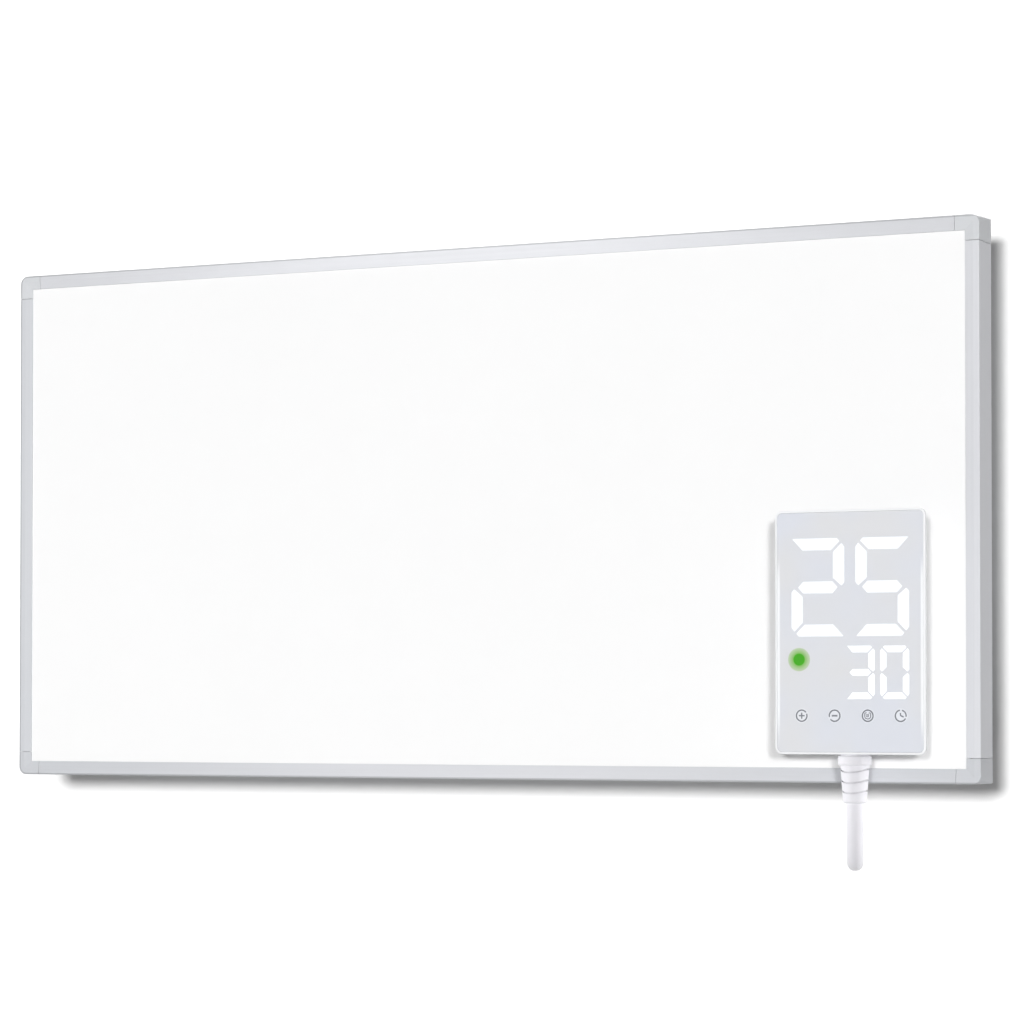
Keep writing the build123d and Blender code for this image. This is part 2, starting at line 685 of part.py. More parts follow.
def blind_rivets():
    hanger = [rivet(x, z, COVER_REAR_Y + SHEET) for x, z in hanger_rivet_places()]
    box = [rivet(x, z, BOX_FLOOR_Y) for x, z in box_rivet_places()]
    return group(hanger + box)


def wall_spacers():
    """Two buffers that keep the panel's lower edge parallel to the wall."""
    points = (
        (0, 0),
        (SPACER_TIP_RADIUS, 0),
        (SPACER_TIP_RADIUS, COVER_REAR_Y + SPACER_FLANGE),
        (SPACER_BASE_RADIUS, COVER_REAR_Y + SPACER_FLANGE),
        (SPACER_BASE_RADIUS, COVER_REAR_Y),
        (SPACER_STEM_RADIUS, COVER_REAR_Y),
        (SPACER_STEM_RADIUS, COVER_REAR_Y - SPACER_STEM_LENGTH),
        (0, COVER_REAR_Y - SPACER_STEM_LENGTH),
    )
    return group([turned_on_y(points, x, z) for x, z in spacer_places()])


# ---------------------------------------------------------------- terminal box
def box_outline(inset):
    wide = BOX_WIDTH - 2 * inset
    high = BOX_HEIGHT - 2 * inset
    return Pos(BOX_X, BOX_Z) * RectangleRounded(wide, high, BOX_RADIUS - inset)


def box_post_places():
    reach_x = BOX_WIDTH / 2 - BOX_POST_INSET
    reach_z = BOX_HEIGHT / 2 - BOX_POST_INSET
    return [(BOX_X + i * reach_x, BOX_Z + k * reach_z) for i in (-1, 1) for k in (-1, 1)]


def terminal_box_base():
    base = slab(box_outline(0), BOX_LID_Y, COVER_REAR_Y)
    base = base - slab(box_outline(BOX_WALL), BOX_LID_Y, BOX_FLOOR_Y)
    for x, z in box_post_places():
        base = base + pin(x, z, BOX_POST_RADIUS, BOX_LID_Y, BOX_FLOOR_Y)
    holes = [
        pin(x, z, BOX_POST_BORE_RADIUS, BOX_LID_Y, BOX_LID_Y - BOX_SCREW_LENGTH)
        for x, z in box_post_places()
    ]
    wall_zs = (BOX_BOTTOM_Z, BOX_BOTTOM_Z + BOX_WALL)
    holes.append(bar(LEAD_REAR_X, LEAD_REAR_Y, LEAD_GROMMET_RADIUS, *wall_zs))
    holes.append(bar(GLAND_X, GLAND_Y, GLAND_THREAD_RADIUS + GROMMET_CLEARANCE, *wall_zs))
    holes.append(wire_hole(WIRE_HOLE_RADIUS, BOX_FLOOR_Y, COVER_REAR_Y))
    for x, z in box_rivet_places():
        holes.append(pin(x, z, RIVET_RADIUS + HELD_CLEARANCE, BOX_FLOOR_Y, COVER_REAR_Y))
    return cut_all(base, holes)


def terminal_box_cover():
    cover = slab(box_outline(0), BOX_LID_Y + BOX_WALL, BOX_LID_Y)
    cover = chamfer(cover.edges().group_by(Axis.Y)[-1], BOX_LID_EDGE)
    bore = BOX_POST_BORE_RADIUS + HELD_CLEARANCE
    holes = [pin(x, z, bore, BOX_LID_Y + BOX_WALL, BOX_LID_Y) for x, z in box_post_places()]
    return cut_all(cover, holes)


def terminal_box_screws():
    size = (BOX_SCREW_HEAD_RADIUS, BOX_SCREW_HEAD_HEIGHT, BOX_SCREW_RADIUS, BOX_SCREW_LENGTH)
    return group([screw(x, z, BOX_LID_Y + BOX_WALL, *size) for x, z in box_post_places()])


def terminal_block():
    """A four-way block over the wires that come out of the panel."""
    wide, high = BLOCK_SIZE
    top_y = BOX_FLOOR_Y + BLOCK_DEPTH
    gap = WIRE_GROMMET_LIP + HELD_CLEARANCE
    body = span_box(
        (BLOCK_X - wide / 2, BLOCK_X + wide / 2),
        (BOX_FLOOR_Y, top_y),
        (BOX_Z - high / 2, BOX_Z + high / 2),
    )
    holes = [wire_hole(WIRE_GROMMET_FLANGE + HELD_CLEARANCE, BOX_FLOOR_Y + gap, BOX_FLOOR_Y)]
    holes += [pin(x, z, WIRE_RADIUS + HELD_CLEARANCE, top_y, BOX_FLOOR_Y) for x, z in wire_places()]
    pitch = wide / BLOCK_WAYS
    for i in range(BLOCK_WAYS):
        x = BLOCK_X + (i - (BLOCK_WAYS - 1) / 2) * pitch
        for side in (-1, 1):
            z = BOX_Z + side * high / 3
            holes.append(pin(x, z, BLOCK_SCREW_RADIUS, top_y, top_y - BLOCK_SCREW_DEPTH))
    return cut_all(body, holes)


def element_leads():
    """Two short wires from the heating laminate to the terminal block."""
    tip_y = BOX_FLOOR_Y + BLOCK_DEPTH - BLOCK_SCREW_DEPTH
    return group([pin(x, z, WIRE_RADIUS, tip_y, FOIL_FRONT_Y) for x, z in wire_places()])


def wire_grommet():
    """The bush in the rear cover and the box's floor."""
    inner = WIRE_GROMMET_BORE
    groove = WIRE_HOLE_RADIUS - GROMMET_CLEARANCE
    flange = WIRE_GROMMET_FLANGE
    points = (
        (inner, COVER_FRONT_Y - WIRE_GROMMET_LIP),
        (flange, COVER_FRONT_Y - WIRE_GROMMET_LIP),
        (flange, COVER_FRONT_Y),
        (groove, COVER_FRONT_Y),
        (groove, BOX_FLOOR_Y),
        (flange, BOX_FLOOR_Y),
        (flange, BOX_FLOOR_Y + WIRE_GROMMET_LIP),
        (inner, BOX_FLOOR_Y + WIRE_GROMMET_LIP),
    )
    return turned_on_y(points, BLOCK_X, BOX_Z)


def earth_stud():
    """The earth screw on the box's floor, with its nut."""
    x = BOX_X + EARTH_OFFSET
    z = BOX_Z - EARTH_RISE
    stem = pin(x, z, EARTH_RADIUS, BOX_FLOOR_Y + EARTH_LENGTH, BOX_FLOOR_Y)
    nut = Pos(x, z) * RegularPolygon(NUT_RADIUS, 6)
    return stem + slab(nut, BOX_FLOOR_Y + NUT_HEIGHT, BOX_FLOOR_Y)


def thermal_cutout():
    """The disc thermostat that lies on the foil behind the heating laminate."""
    cap_y = BOARD_FRONT_Y + CUTOUT_CAP_HEIGHT
    top_y = BOARD_FRONT_Y + CUTOUT_HEIGHT
    points = (
        (0, BOARD_FRONT_Y),
        (CUTOUT_CAP_RADIUS, BOARD_FRONT_Y),
        (CUTOUT_CAP_RADIUS, cap_y),
        (CUTOUT_RADIUS, cap_y),
        (CUTOUT_RADIUS, top_y),
        (0, top_y),
    )
    return turned_on_y(points, CUTOUT_X, BOX_Z)


def cutout_bracket():
    """A hat-shaped spring strip that presses the cutout against the foil."""
    low = BOARD_FRONT_Y + CUTOUT_HEIGHT + BRACKET_SHEET / 2
    high = COVER_FRONT_Y - BRACKET_SHEET / 2
    half = BRACKET_TOP / 2
    line = Polyline(
        (-half - BRACKET_FOOT, high),
        (-half, high),
        (-half, low),
        (half, low),
        (half, high),
        (half + BRACKET_FOOT, high),
    )
    section = Plane.XY.offset(BOX_Z - BRACKET_WIDTH / 2) * Pos(CUTOUT_X, 0) * trace(line, BRACKET_SHEET)
    return extrude(section, BRACKET_WIDTH)


def lead_grommet():
    """The bush that the lead enters, in the box's bottom wall."""
    inner = LEAD_RADIUS + LEAD_RUNNING_CLEARANCE
    groove = LEAD_GROMMET_RADIUS - GROMMET_CLEARANCE
    flange = LEAD_GROMMET_FLANGE
    inside = BOX_BOTTOM_Z + BOX_WALL
    points = (
        (inner, BOX_BOTTOM_Z - LEAD_GROMMET_LIP),
        (flange, BOX_BOTTOM_Z - LEAD_GROMMET_LIP),
        (flange, BOX_BOTTOM_Z),
        (groove, BOX_BOTTOM_Z),
        (groove, inside),
        (flange, inside),
        (flange, inside + LEAD_GROMMET_LIP),
        (inner, inside + LEAD_GROMMET_LIP),
    )
    return turned_on_z(points, LEAD_REAR_X, LEAD_REAR_Y)


def mains_gland():
    """The cable gland for the mains lead: flange inside the box, hexagon and cap below it."""
    inside = BOX_BOTTOM_Z + BOX_WALL
    nut_z = BOX_BOTTOM_Z - GLAND_NUT_HEIGHT
    cap_z = nut_z - GLAND_CAP_HEIGHT
    points = (
        (GLAND_BORE_RADIUS, inside + GLAND_FLANGE_HEIGHT),
        (GLAND_FLANGE_RADIUS, inside + GLAND_FLANGE_HEIGHT),
        (GLAND_FLANGE_RADIUS, inside),
        (GLAND_THREAD_RADIUS, inside),
        (GLAND_THREAD_RADIUS, nut_z),
        (GLAND_CAP_RADIUS, nut_z),
        (GLAND_CAP_RADIUS, cap_z + GLAND_CAP_BEVEL),
        (GLAND_CAP_RADIUS - GLAND_CAP_BEVEL, cap_z),
        (GLAND_BORE_RADIUS, cap_z),
    )
    body = turned_on_z(points, GLAND_X, GLAND_Y)
    hexagon = Pos(GLAND_X, GLAND_Y) * RegularPolygon(GLAND_NUT_RADIUS, 6)
    nut = extrude(Plane.XY.offset(nut_z) * hexagon, GLAND_NUT_HEIGHT)
    return body + (nut - bar(GLAND_X, GLAND_Y, GLAND_BORE_RADIUS, nut_z, BOX_BOTTOM_Z))


# ---------------------------------------------------------------- studs that carry the control unit
def hanging_studs():
    """Mushroom-headed studs through the front plate."""
    head_rear = SHELL_FLOOR_Y - STUD_HEAD_GAP
    head_front = head_rear - STUD_HEAD_HEIGHT
    tail = FILM_FRONT_Y + STUD_TAIL
    bevel = STUD_HEAD_HEIGHT / 2
    points = (
        (0, head_front),
        (STUD_HEAD_RADIUS - bevel, head_front),
        (STUD_HEAD_RADIUS, head_front + bevel),
        (STUD_HEAD_RADIUS, head_rear),
        (STUD_NECK_RADIUS, head_rear),
        (STUD_NECK_RADIUS, tail),
        (0, tail),
    )
    return group([turned_on_y(points, x, z) for x, z in stud_places()])


def stud_spacers():
    """Heat-resistant sleeves that set the control unit off the hot plate."""
    bore = STUD_NECK_RADIUS + STUD_SPACER_BORE_CLEARANCE
    sleeves = []
    for x, z in stud_places():
        ring = Pos(x, z) * (Circle(STUD_SPACER_RADIUS) - Circle(bore))
        sleeves.append(slab(ring, PLATE_FRONT_Y, SPACER_FRONT_Y))
    return group(sleeves)


def stud_nuts():
    bore = STUD_NECK_RADIUS + HELD_CLEARANCE
    nuts = []
    for x, z in stud_places():
        ring = Pos(x, z) * (RegularPolygon(NUT_RADIUS, 6) - Circle(bore))
        nuts.append(slab(ring, FILM_FRONT_Y + NUT_HEIGHT, FILM_FRONT_Y))
    return group(nuts)


# ---------------------------------------------------------------- control unit
def face_outline(inset, radius):
    wide = CONTROL_WIDTH - 2 * inset
    high = CONTROL_HEIGHT - 2 * inset
    return Pos(CONTROL_X, CONTROL_Z) * RectangleRounded(wide, high, radius)


def post_places():
    return [(CONTROL_X + i * POST_X, CONTROL_Z + k * POST_Z) for i in (-1, 1) for k in (-1, 1)]


def relief_room():
    """Room for the strain relief's neck, its flange and the lead above it."""
    wall_top = CONTROL_BOTTOM_Z + SHELL_BOTTOM_INSET + SHELL_WALL
    flange_top = wall_top + RELIEF_FLANGE_HEIGHT
    lead_top = CONTROL_BOTTOM_Z - LEAD_ROUTE[0][1] + HELD_CLEARANCE
    gap = HELD_CLEARANCE
    return [
        bar(CONTROL_X, LEAD_Y, RELIEF_NECK_RADIUS + gap, CONTROL_BOTTOM_Z, wall_top),
        bar(CONTROL_X, LEAD_Y, RELIEF_FLANGE_RADIUS + gap, wall_top, flange_top + gap),
        bar(CONTROL_X, LEAD_Y, LEAD_RADIUS + gap, flange_top, lead_top),
    ]


def control_bezel():
    """The moulded front of the control unit, which frames the glass."""
    land_y = FACE_Y + BEZEL_LAND
    outline = face_outline(0, CONTROL_RADIUS)
    bezel = slab(outline, land_y, FACE_Y)
    bezel = fillet(bezel.edges().group_by(Axis.Y)[0], BEZEL_EDGE_RADIUS)
    rear = Pos(CONTROL_X, CONTROL_Z - BEZEL_TAPER / 2) * RectangleRounded(
        CONTROL_WIDTH - 2 * BEZEL_TAPER, CONTROL_HEIGHT - BEZEL_TAPER, CONTROL_RADIUS
    )
    planes = (Plane.XZ.offset(-land_y), Plane.XZ.offset(-BEZEL_REAR_Y))
    bezel = bezel + loft([planes[0] * outline, planes[1] * rear])
    bezel = bezel - slab(face_outline(BEZEL_RIM, CONTROL_RADIUS - BEZEL_RIM), GLASS_REAR_Y, FACE_Y)
    window = Pos(CONTROL_X, CONTROL_Z) * Rectangle(
        CONTROL_WIDTH - 2 * WINDOW_SIDE_INSET, CONTROL_HEIGHT - 2 * WINDOW_END_INSET
    )
    bezel = bezel - slab(window, BEZEL_REAR_Y, GLASS_REAR_Y)
    for x, z in post_places():
        bezel = bezel + pin(x, z, POST_RADIUS, POST_END_Y, GLASS_REAR_Y)
    bore_end = BACK_Y - POCKET_DEPTH - CONTROL_SCREW_LENGTH - GLASS_CLEARANCE
    bores = [pin(x, z, POST_BORE_RADIUS, POST_END_Y, bore_end) for x, z in post_places()]
    return cut_all(bezel, bores + relief_room())


def touch_glass():
    inset = BEZEL_RIM + GLASS_CLEARANCE
    return slab(face_outline(inset, CONTROL_RADIUS - inset), GLASS_REAR_Y, GLASS_FRONT_Y)


def keyhole(x, z):
    """A round entry with a slot above it, in front view."""
    slot = 2 * (STUD_NECK_RADIUS + KEYHOLE_CLEARANCE)
    entry = Pos(x, z - CONTROL_LIFT) * Circle(KEYHOLE_ENTRY_RADIUS)
    run = Pos(x, z - CONTROL_LIFT / 2) * Rotation(0, 0, 90) * SlotCenterToCenter(CONTROL_LIFT, slot)
    return entry + run


def control_rear_shell():
    """The tray behind the bezel, with keyholes, vents and screw bosses."""
    wide = CONTROL_WIDTH - 2 * SHELL_INSET
    outer = Pos(CONTROL_X, SHELL_Z) * RectangleRounded(wide, SHELL_HEIGHT, SHELL_RADIUS)
    inner = Pos(CONTROL_X, SHELL_Z) * RectangleRounded(
        wide - 2 * SHELL_WALL, SHELL_HEIGHT - 2 * SHELL_WALL, SHELL_RADIUS - SHELL_WALL
    )
    tray = slab(outer, BACK_Y, BEZEL_REAR_Y)
    tray = fillet(tray.edges().group_by(Axis.Y)[-1], SHELL_EDGE_RADIUS)
    shell = tray - slab(inner, SHELL_FLOOR_Y, BEZEL_REAR_Y)
    for x, z in post_places():
        shell = shell + (pin(x, z, BOSS_RADIUS, SHELL_FLOOR_Y, POST_END_Y) & tray)
    for x, z in STANDOFFS:
        shell = shell + pin(CONTROL_X + x, CONTROL_Z + z, STANDOFF_RADIUS, SHELL_FLOOR_Y, BOARD_REAR_Y)
    cuts = [slab(keyhole(x, z), BACK_Y, SHELL_FLOOR_Y) for x, z in stud_places()]
    for x, z in post_places():
        cuts.append(pin(x, z, POCKET_RADIUS, BACK_Y, BACK_Y - POCKET_DEPTH))
        cuts.append(pin(x, z, POST_BORE_RADIUS + HELD_CLEARANCE, BACK_Y, POST_END_Y))
    for i in range(VENT_COUNT):
        place = Pos(CONTROL_X, CONTROL_Z + VENT_TOP - i * VENT_PITCH)
        cuts.append(slab(place * SlotOverall(VENT_WIDTH, VENT_SLOT), BACK_Y, SHELL_FLOOR_Y))
    return cut_all(shell, cuts + relief_room())


def control_screws():
    size = (
        CONTROL_SCREW_HEAD_RADIUS,
        CONTROL_SCREW_HEAD_HEIGHT,
        CONTROL_SCREW_RADIUS,
        CONTROL_SCREW_LENGTH,
    )
    return group([screw(x, z, BACK_Y - POCKET_DEPTH, *size) for x, z in post_places()])


def display_board():
    board = Pos(CONTROL_X, CONTROL_Z) * Rectangle(BOARD_WIDTH, BOARD_HEIGHT)
    return slab(board, BOARD_REAR_Y, BOARD_FACE_Y)


def led_display_module():
    """The light block behind the large and the small digits."""
    half = DISPLAY_WIDTH / 2
    outline = make_face(
        Polyline(
            (-half, DISPLAY_SPLIT),
            (DISPLAY_SMALL_LEFT, DISPLAY_SPLIT),
            (DISPLAY_SMALL_LEFT, DISPLAY_BOTTOM),
            (half, DISPLAY_BOTTOM),
            (half, DISPLAY_TOP),
            (-half, DISPLAY_TOP),
            close=True,
        )
    )
    block = slab(Pos(CONTROL_X, CONTROL_Z) * outline, BOARD_FACE_Y, GLASS_REAR_Y)
    room = POST_RADIUS + GLASS_CLEARANCE
    corners = [pin(x, z, room, BOARD_FACE_Y, GLASS_REAR_Y) for x, z in post_places()]
    return cut_all(block, corners)


def indicator_lens():
    x = CONTROL_X + INDICATOR_X
    return pin(x, CONTROL_Z + INDICATOR_Z, INDICATOR_RADIUS, BOARD_FACE_Y, GLASS_REAR_Y)


def touch_springs():
    """The four sensing springs between the board and the glass."""
    springs = []
    for x in KEY_XS:
        ring = Circle(KEY_SPRING_RADIUS) - Circle(KEY_SPRING_RADIUS - KEY_SPRING_WIRE)
        springs.append(slab(Pos(CONTROL_X + x, CONTROL_Z + KEY_Z) * ring, BOARD_FACE_Y, GLASS_REAR_Y))
    return group(springs)


def board_part(x, size, depth):
    outline = Pos(CONTROL_X + x, CONTROL_Z + BOARD_PARTS_Z) * Rectangle(*size)
    return slab(outline, BOARD_REAR_Y + depth, BOARD_REAR_Y)


def relay():
    return board_part(RELAY_X, RELAY_SIZE, RELAY_DEPTH)


def power_module():
    return board_part(POWER_X, POWER_SIZE, POWER_DEPTH)


def temperature_sensor():
    """A thermistor bead on the back of the board, behind the vents."""
    x = CONTROL_X + SENSOR_X
    bead = bar(x, BOARD_REAR_Y + SENSOR_RADIUS, SENSOR_RADIUS, 0, SENSOR_LENGTH)
    return Pos(0, 0, CONTROL_Z + SENSOR_Z) * bead


def strain_relief():
    """The tapered sleeve that the lead leaves through, with curved grooves that let it flex."""
    wall_top = CONTROL_BOTTOM_Z + SHELL_BOTTOM_INSET + SHELL_WALL
    shoulder_z = CONTROL_BOTTOM_Z - RELIEF_SHOULDER_HEIGHT
    collar_z = shoulder_z - RELIEF_COLLAR_HEIGHT
    tip_z = CONTROL_BOTTOM_Z - RELIEF_LENGTH
    bore = LEAD_RADIUS + HELD_CLEARANCE
    points = (
        (bore, wall_top + RELIEF_FLANGE_HEIGHT),
        (RELIEF_FLANGE_RADIUS, wall_top + RELIEF_FLANGE_HEIGHT),
        (RELIEF_FLANGE_RADIUS, wall_top),
        (RELIEF_NECK_RADIUS, wall_top),
        (RELIEF_NECK_RADIUS, CONTROL_BOTTOM_Z),
        (RELIEF_SHOULDER_RADIUS, CONTROL_BOTTOM_Z),
        (RELIEF_SHOULDER_RADIUS, shoulder_z),
        (RELIEF_COLLAR_RADIUS, shoulder_z),
        (RELIEF_COLLAR_RADIUS, collar_z),
        (RELIEF_TOP_RADIUS, collar_z),
        (RELIEF_TIP_RADIUS, tip_z),
        (bore, tip_z),
    )
    section = make_face(Polyline(*points, close=True))
    collar = ((RELIEF_COLLAR_RADIUS, shoulder_z), (RELIEF_COLLAR_RADIUS, collar_z))
    section = rounded(section, collar, RELIEF_COLLAR_ROUND)
    section = rounded(section, [(RELIEF_TIP_RADIUS, tip_z)], RELIEF_TIP_ROUND)
    sleeve = Pos(CONTROL_X, LEAD_Y, 0) * revolve(Plane.XZ * section, Axis.Z)
    reach = RELIEF_COLLAR_RADIUS
    arc = ThreePointArc((-reach, RELIEF_GROOVE_SAG), (0, 0), (reach, RELIEF_GROOVE_SAG))
    band = SlotArc(arc, RELIEF_GROOVE_HEIGHT)
    grooves = []
    for drop in RELIEF_GROOVE_DROPS:
        share = (drop - RELIEF_SHOULDER_HEIGHT - RELIEF_COLLAR_HEIGHT) / RELIEF_LENGTH
        radius = RELIEF_TOP_RADIUS + (RELIEF_TIP_RADIUS - RELIEF_TOP_RADIUS) * share
        low_z = CONTROL_BOTTOM_Z - drop - RELIEF_GROOVE_HEIGHT
        high_z = low_z + RELIEF_GROOVE_SAG + 2 * RELIEF_GROOVE_HEIGHT
        core = bar(CONTROL_X, LEAD_Y, radius - RELIEF_GROOVE_DEPTH, low_z, high_z)
        place = Pos(CONTROL_X, CONTROL_BOTTOM_Z - drop)
        grooves.append(slab(place * band, LEAD_Y + reach, LEAD_Y - reach) - core)
    return cut_all(sleeve, grooves)


def lead_clamp():
    """The clip on the shell's floor that holds the lead inside the control unit."""
    low_z = CONTROL_BOTTOM_Z + CLAMP_SETBACK
    half_arch = LEAD_RADIUS + CLAMP_WALL
    rise = SHELL_FLOOR_Y - LEAD_Y
    arch = Circle(half_arch) + Pos(0, rise / 2) * Rectangle(2 * half_arch, rise)
    ears = Pos(0, rise - CLAMP_EAR / 2) * Rectangle(CLAMP_WIDTH, CLAMP_EAR)
    outline = arch + ears - Circle(LEAD_RADIUS + HELD_CLEARANCE)
    room = span_box(
        (CONTROL_X - CLAMP_WIDTH, CONTROL_X + CLAMP_WIDTH),
        (BEZEL_REAR_Y, SHELL_FLOOR_Y),
        (low_z, low_z + CLAMP_HEIGHT),
    )
    return extrude(Plane.XY.offset(low_z) * Pos(CONTROL_X, LEAD_Y) * outline, CLAMP_HEIGHT) & room


def lead_points():
    return [
        (CONTROL_X + along * LEAD_BACK[0], LEAD_Y + along * LEAD_BACK[1], CONTROL_BOTTOM_Z - below)
        for along, below in LEAD_ROUTE
    ]


def lead_radii(points):
    """One arc radius for each corner, as large as the runs beside it allow."""
    spots = [Vector(*point) for point in points]
    radii = []
    for before, here, after in zip(spots, spots[1:], spots[2:]):
        turn = math.radians((here - before).get_angle(after - here))
        shorter = min((here - before).length, (after - here).length)
        radii.append(LEAD_ARC_SHARE * shorter / math.tan(turn / 2))
    return radii


def link_lead():
    """The lead from the control unit's bottom, round under the panel and up into the box."""
    points = lead_points()
    radii = lead_radii(points)
    path = FilletPolyline(*points, radius=radii)
    lead = sweep(Plane(path @ 0, z_dir=path % 0) * Circle(LEAD_RADIUS), path=path)
    expected = math.pi * LEAD_RADIUS**2 * path.length
    print("lead: length", round(path.length, 1), "radii", [round(r, 1) for r in radii])
    print("lead: volume over section times length", round(lead.volume / expected, 4))
    return lead


# ---------------------------------------------------------------- every node
def all_nodes():
    nodes = {"wall_rail": wall_rail()}
    nodes.update(frame_rails())
    nodes.update(corner_covers())
    makers = (
        corner_screws,
        front_plate,
        heating_film,
        busbars,
        reflector_foil,
        insulation_board,
        rear_cover,
        hanger_brackets,
        blind_rivets,
        wall_spacers,
        terminal_box_base,
        terminal_box_cover,
        terminal_box_screws,
        terminal_block,
        element_leads,
        wire_grommet,
        earth_stud,
        thermal_cutout,
        cutout_bracket,
        lead_grommet,
        mains_gland,
        hanging_studs,
        stud_spacers,
        stud_nuts,
        control_bezel,
        touch_glass,
        control_rear_shell,
        control_screws,
        display_board,
        led_display_module,
        indicator_lens,
        touch_springs,
        relay,
        power_module,
        temperature_sensor,
        strain_relief,
        lead_clamp,
        link_lead,
    )
    for maker in makers:
        nodes[maker.__name__] = maker()
    return nodes


os.makedirs("parts", exist_ok=True)
for node, shape in all_nodes().items():
    export_step(shape, f"parts/{node}.step")
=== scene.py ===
"""Looks of the infrared panel heater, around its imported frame.

Lengths are in metres. Only what is drawn on the glass is in millimetres, about the control unit's middle.
"""
import math

import bpy
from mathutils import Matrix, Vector


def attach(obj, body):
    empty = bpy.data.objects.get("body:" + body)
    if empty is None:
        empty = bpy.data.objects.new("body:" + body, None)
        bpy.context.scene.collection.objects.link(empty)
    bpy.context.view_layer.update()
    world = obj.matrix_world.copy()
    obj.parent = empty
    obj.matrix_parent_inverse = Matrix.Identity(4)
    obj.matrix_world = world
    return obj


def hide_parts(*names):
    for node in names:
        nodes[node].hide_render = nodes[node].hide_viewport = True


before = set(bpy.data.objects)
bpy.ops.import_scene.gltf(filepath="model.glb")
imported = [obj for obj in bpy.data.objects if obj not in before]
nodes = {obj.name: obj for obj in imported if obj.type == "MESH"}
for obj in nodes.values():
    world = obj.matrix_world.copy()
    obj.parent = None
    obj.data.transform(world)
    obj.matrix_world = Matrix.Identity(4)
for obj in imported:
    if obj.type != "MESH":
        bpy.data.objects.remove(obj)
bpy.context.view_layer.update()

MM = 0.001
BLACK = (0.0, 0.0, 0.0, 1.0)
WHITE = (1.0, 1.0, 1.0, 1.0)

# places that the pieces below share with the solids
PANEL_HALF_WIDTH = 0.300
PANEL_HALF_HEIGHT = 0.150
PANEL_MIDDLE_Z = -0.090
PANEL_CORNER_RADIUS = 0.0048
FRAME_FRONT_Y = -0.056
CONTROL_X = 0.2361
CONTROL_Z = -0.1599
CONTROL_BOTTOM_Z = -0.2244
GLASS_Y = -0.0798
LEAD_Y = -0.072
LEAD_DIAMETER = 0.0089

# places on the glass, in millimetres about the control unit's middle
LAMP_X = -28.3
LAMP_Z = -14.4
LAMP_CORE_RADIUS = 3.2
LAMP_GLOW_RADIUS = 6.2
KEY_XS = (-26.86, -8.44, 9.93, 28.09)
KEY_Z = -44.1


# ---------------------------------------------------------------- node trees
# the sockets of a Mix node that has its data type set to colour
MIX_FACTOR = 0
MIX_FIRST = 6
MIX_SECOND = 7
MIX_RESULT = 2
NOISE_ROUGHNESS = 0.55


class Tree:
    """A material's node tree, with short ways to add and join nodes."""

    def __init__(self, name):
        self.material = bpy.data.materials.new(name)
        self.material.use_nodes = True
        self.tree = self.material.node_tree
        self.shader = self.tree.nodes["Principled BSDF"]
        self.output = self.tree.nodes["Material Output"]

    def add(self, kind, values=None, **settings):
        """A new node with values for its sockets and settings of its own."""
        node = self.tree.nodes.new(kind)
        for key, value in settings.items():
            setattr(node, key, value)
        for key, value in (values or {}).items():
            self.feed(node.inputs[key], value)
        return node

    def feed(self, socket, value):
        """Joins a socket to another node's, or gives it a plain value."""
        if isinstance(value, bpy.types.NodeSocket):
            self.tree.links.new(value, socket)
        else:
            socket.default_value = value

    def set(self, **values):
        """Feeds the shader's sockets, named with _ for each space."""
        for key, value in values.items():
            self.feed(self.shader.inputs[key.replace("_", " ")], value)

    def place(self):
        return self.add("ShaderNodeTexCoord").outputs["Object"]

    def axes(self):
        return self.add("ShaderNodeSeparateXYZ", {"Vector": self.place()}).outputs

    def stretched(self, scale):
        return self.add("ShaderNodeMapping", {"Vector": self.place(), "Scale": scale}).outputs[0]

    def noise(self, scale, detail=3.0, vector=None):
        values = {"Scale": scale, "Detail": detail, "Roughness": NOISE_ROUGHNESS}
        values["Vector"] = self.place() if vector is None else vector
        return self.add("ShaderNodeTexNoise", values).outputs["Fac"]

    def math(self, operation, *values):
        node = self.add("ShaderNodeMath", operation=operation)
        for i, value in enumerate(values):
            self.feed(node.inputs[i], value)
        return node.outputs[0]

    def distance(self, first, second):
        """The distance of a point that is off by these two values."""
        squares = [self.math("MULTIPLY", value, value) for value in (first, second)]
        return self.math("SQRT", self.math("ADD", *squares))

    def spread(self, value, low, high, start=0.0, end=1.0, smooth=False):
        """Low where the value is at start, high where it is at end, and what lies between."""
        kind = "SMOOTHSTEP" if smooth else "LINEAR"
        values = {"Value": value, "From Min": start, "From Max": end, "To Min": low, "To Max": high}
        return self.add("ShaderNodeMapRange", values, interpolation_type=kind).outputs[0]

    def mix(self, factor, first, second):
        node = self.add("ShaderNodeMix", data_type="RGBA")
        self.feed(node.inputs[MIX_FACTOR], factor)
        self.feed(node.inputs[MIX_FIRST], first)
        self.feed(node.inputs[MIX_SECOND], second)
        return node.outputs[MIX_RESULT]

    def bump(self, height, strength, distance, normal=None):
        values = {"Height": height, "Strength": strength, "Distance": distance}
        if normal is not None:
            values["Normal"] = normal
        return self.add("ShaderNodeBump", values).outputs[0]


# ---------------------------------------------------------------- what the materials share
def linear(red, green, blue):
    """A display colour of 0 to 255 as the shader's linear colour."""
    parts = [value / 255 for value in (red, green, blue)]
    parts = [v / 12.92 if v <= 0.04045 else ((v + 0.055) / 1.055) ** 2.4 for v in parts]
    return (*parts, 1.0)


def shade(colour, factor):
    """A colour that is brighter or darker by a factor."""
    return (*[min(1.0, value * factor) for value in colour[:3]], 1.0)


def mottled(tree, colour, amount, scale):
    """The colour with a faint cloudy variation."""
    cloud = tree.spread(tree.noise(scale, detail=2.0), low=0, high=1, start=0.3, end=0.7)
    return tree.mix(cloud, shade(colour, 1 - amount), shade(colour, 1 + amount))


def darkened(tree, colour, amount):
    """A colour with this share of it taken away."""
    return tree.mix(amount, colour, BLACK)


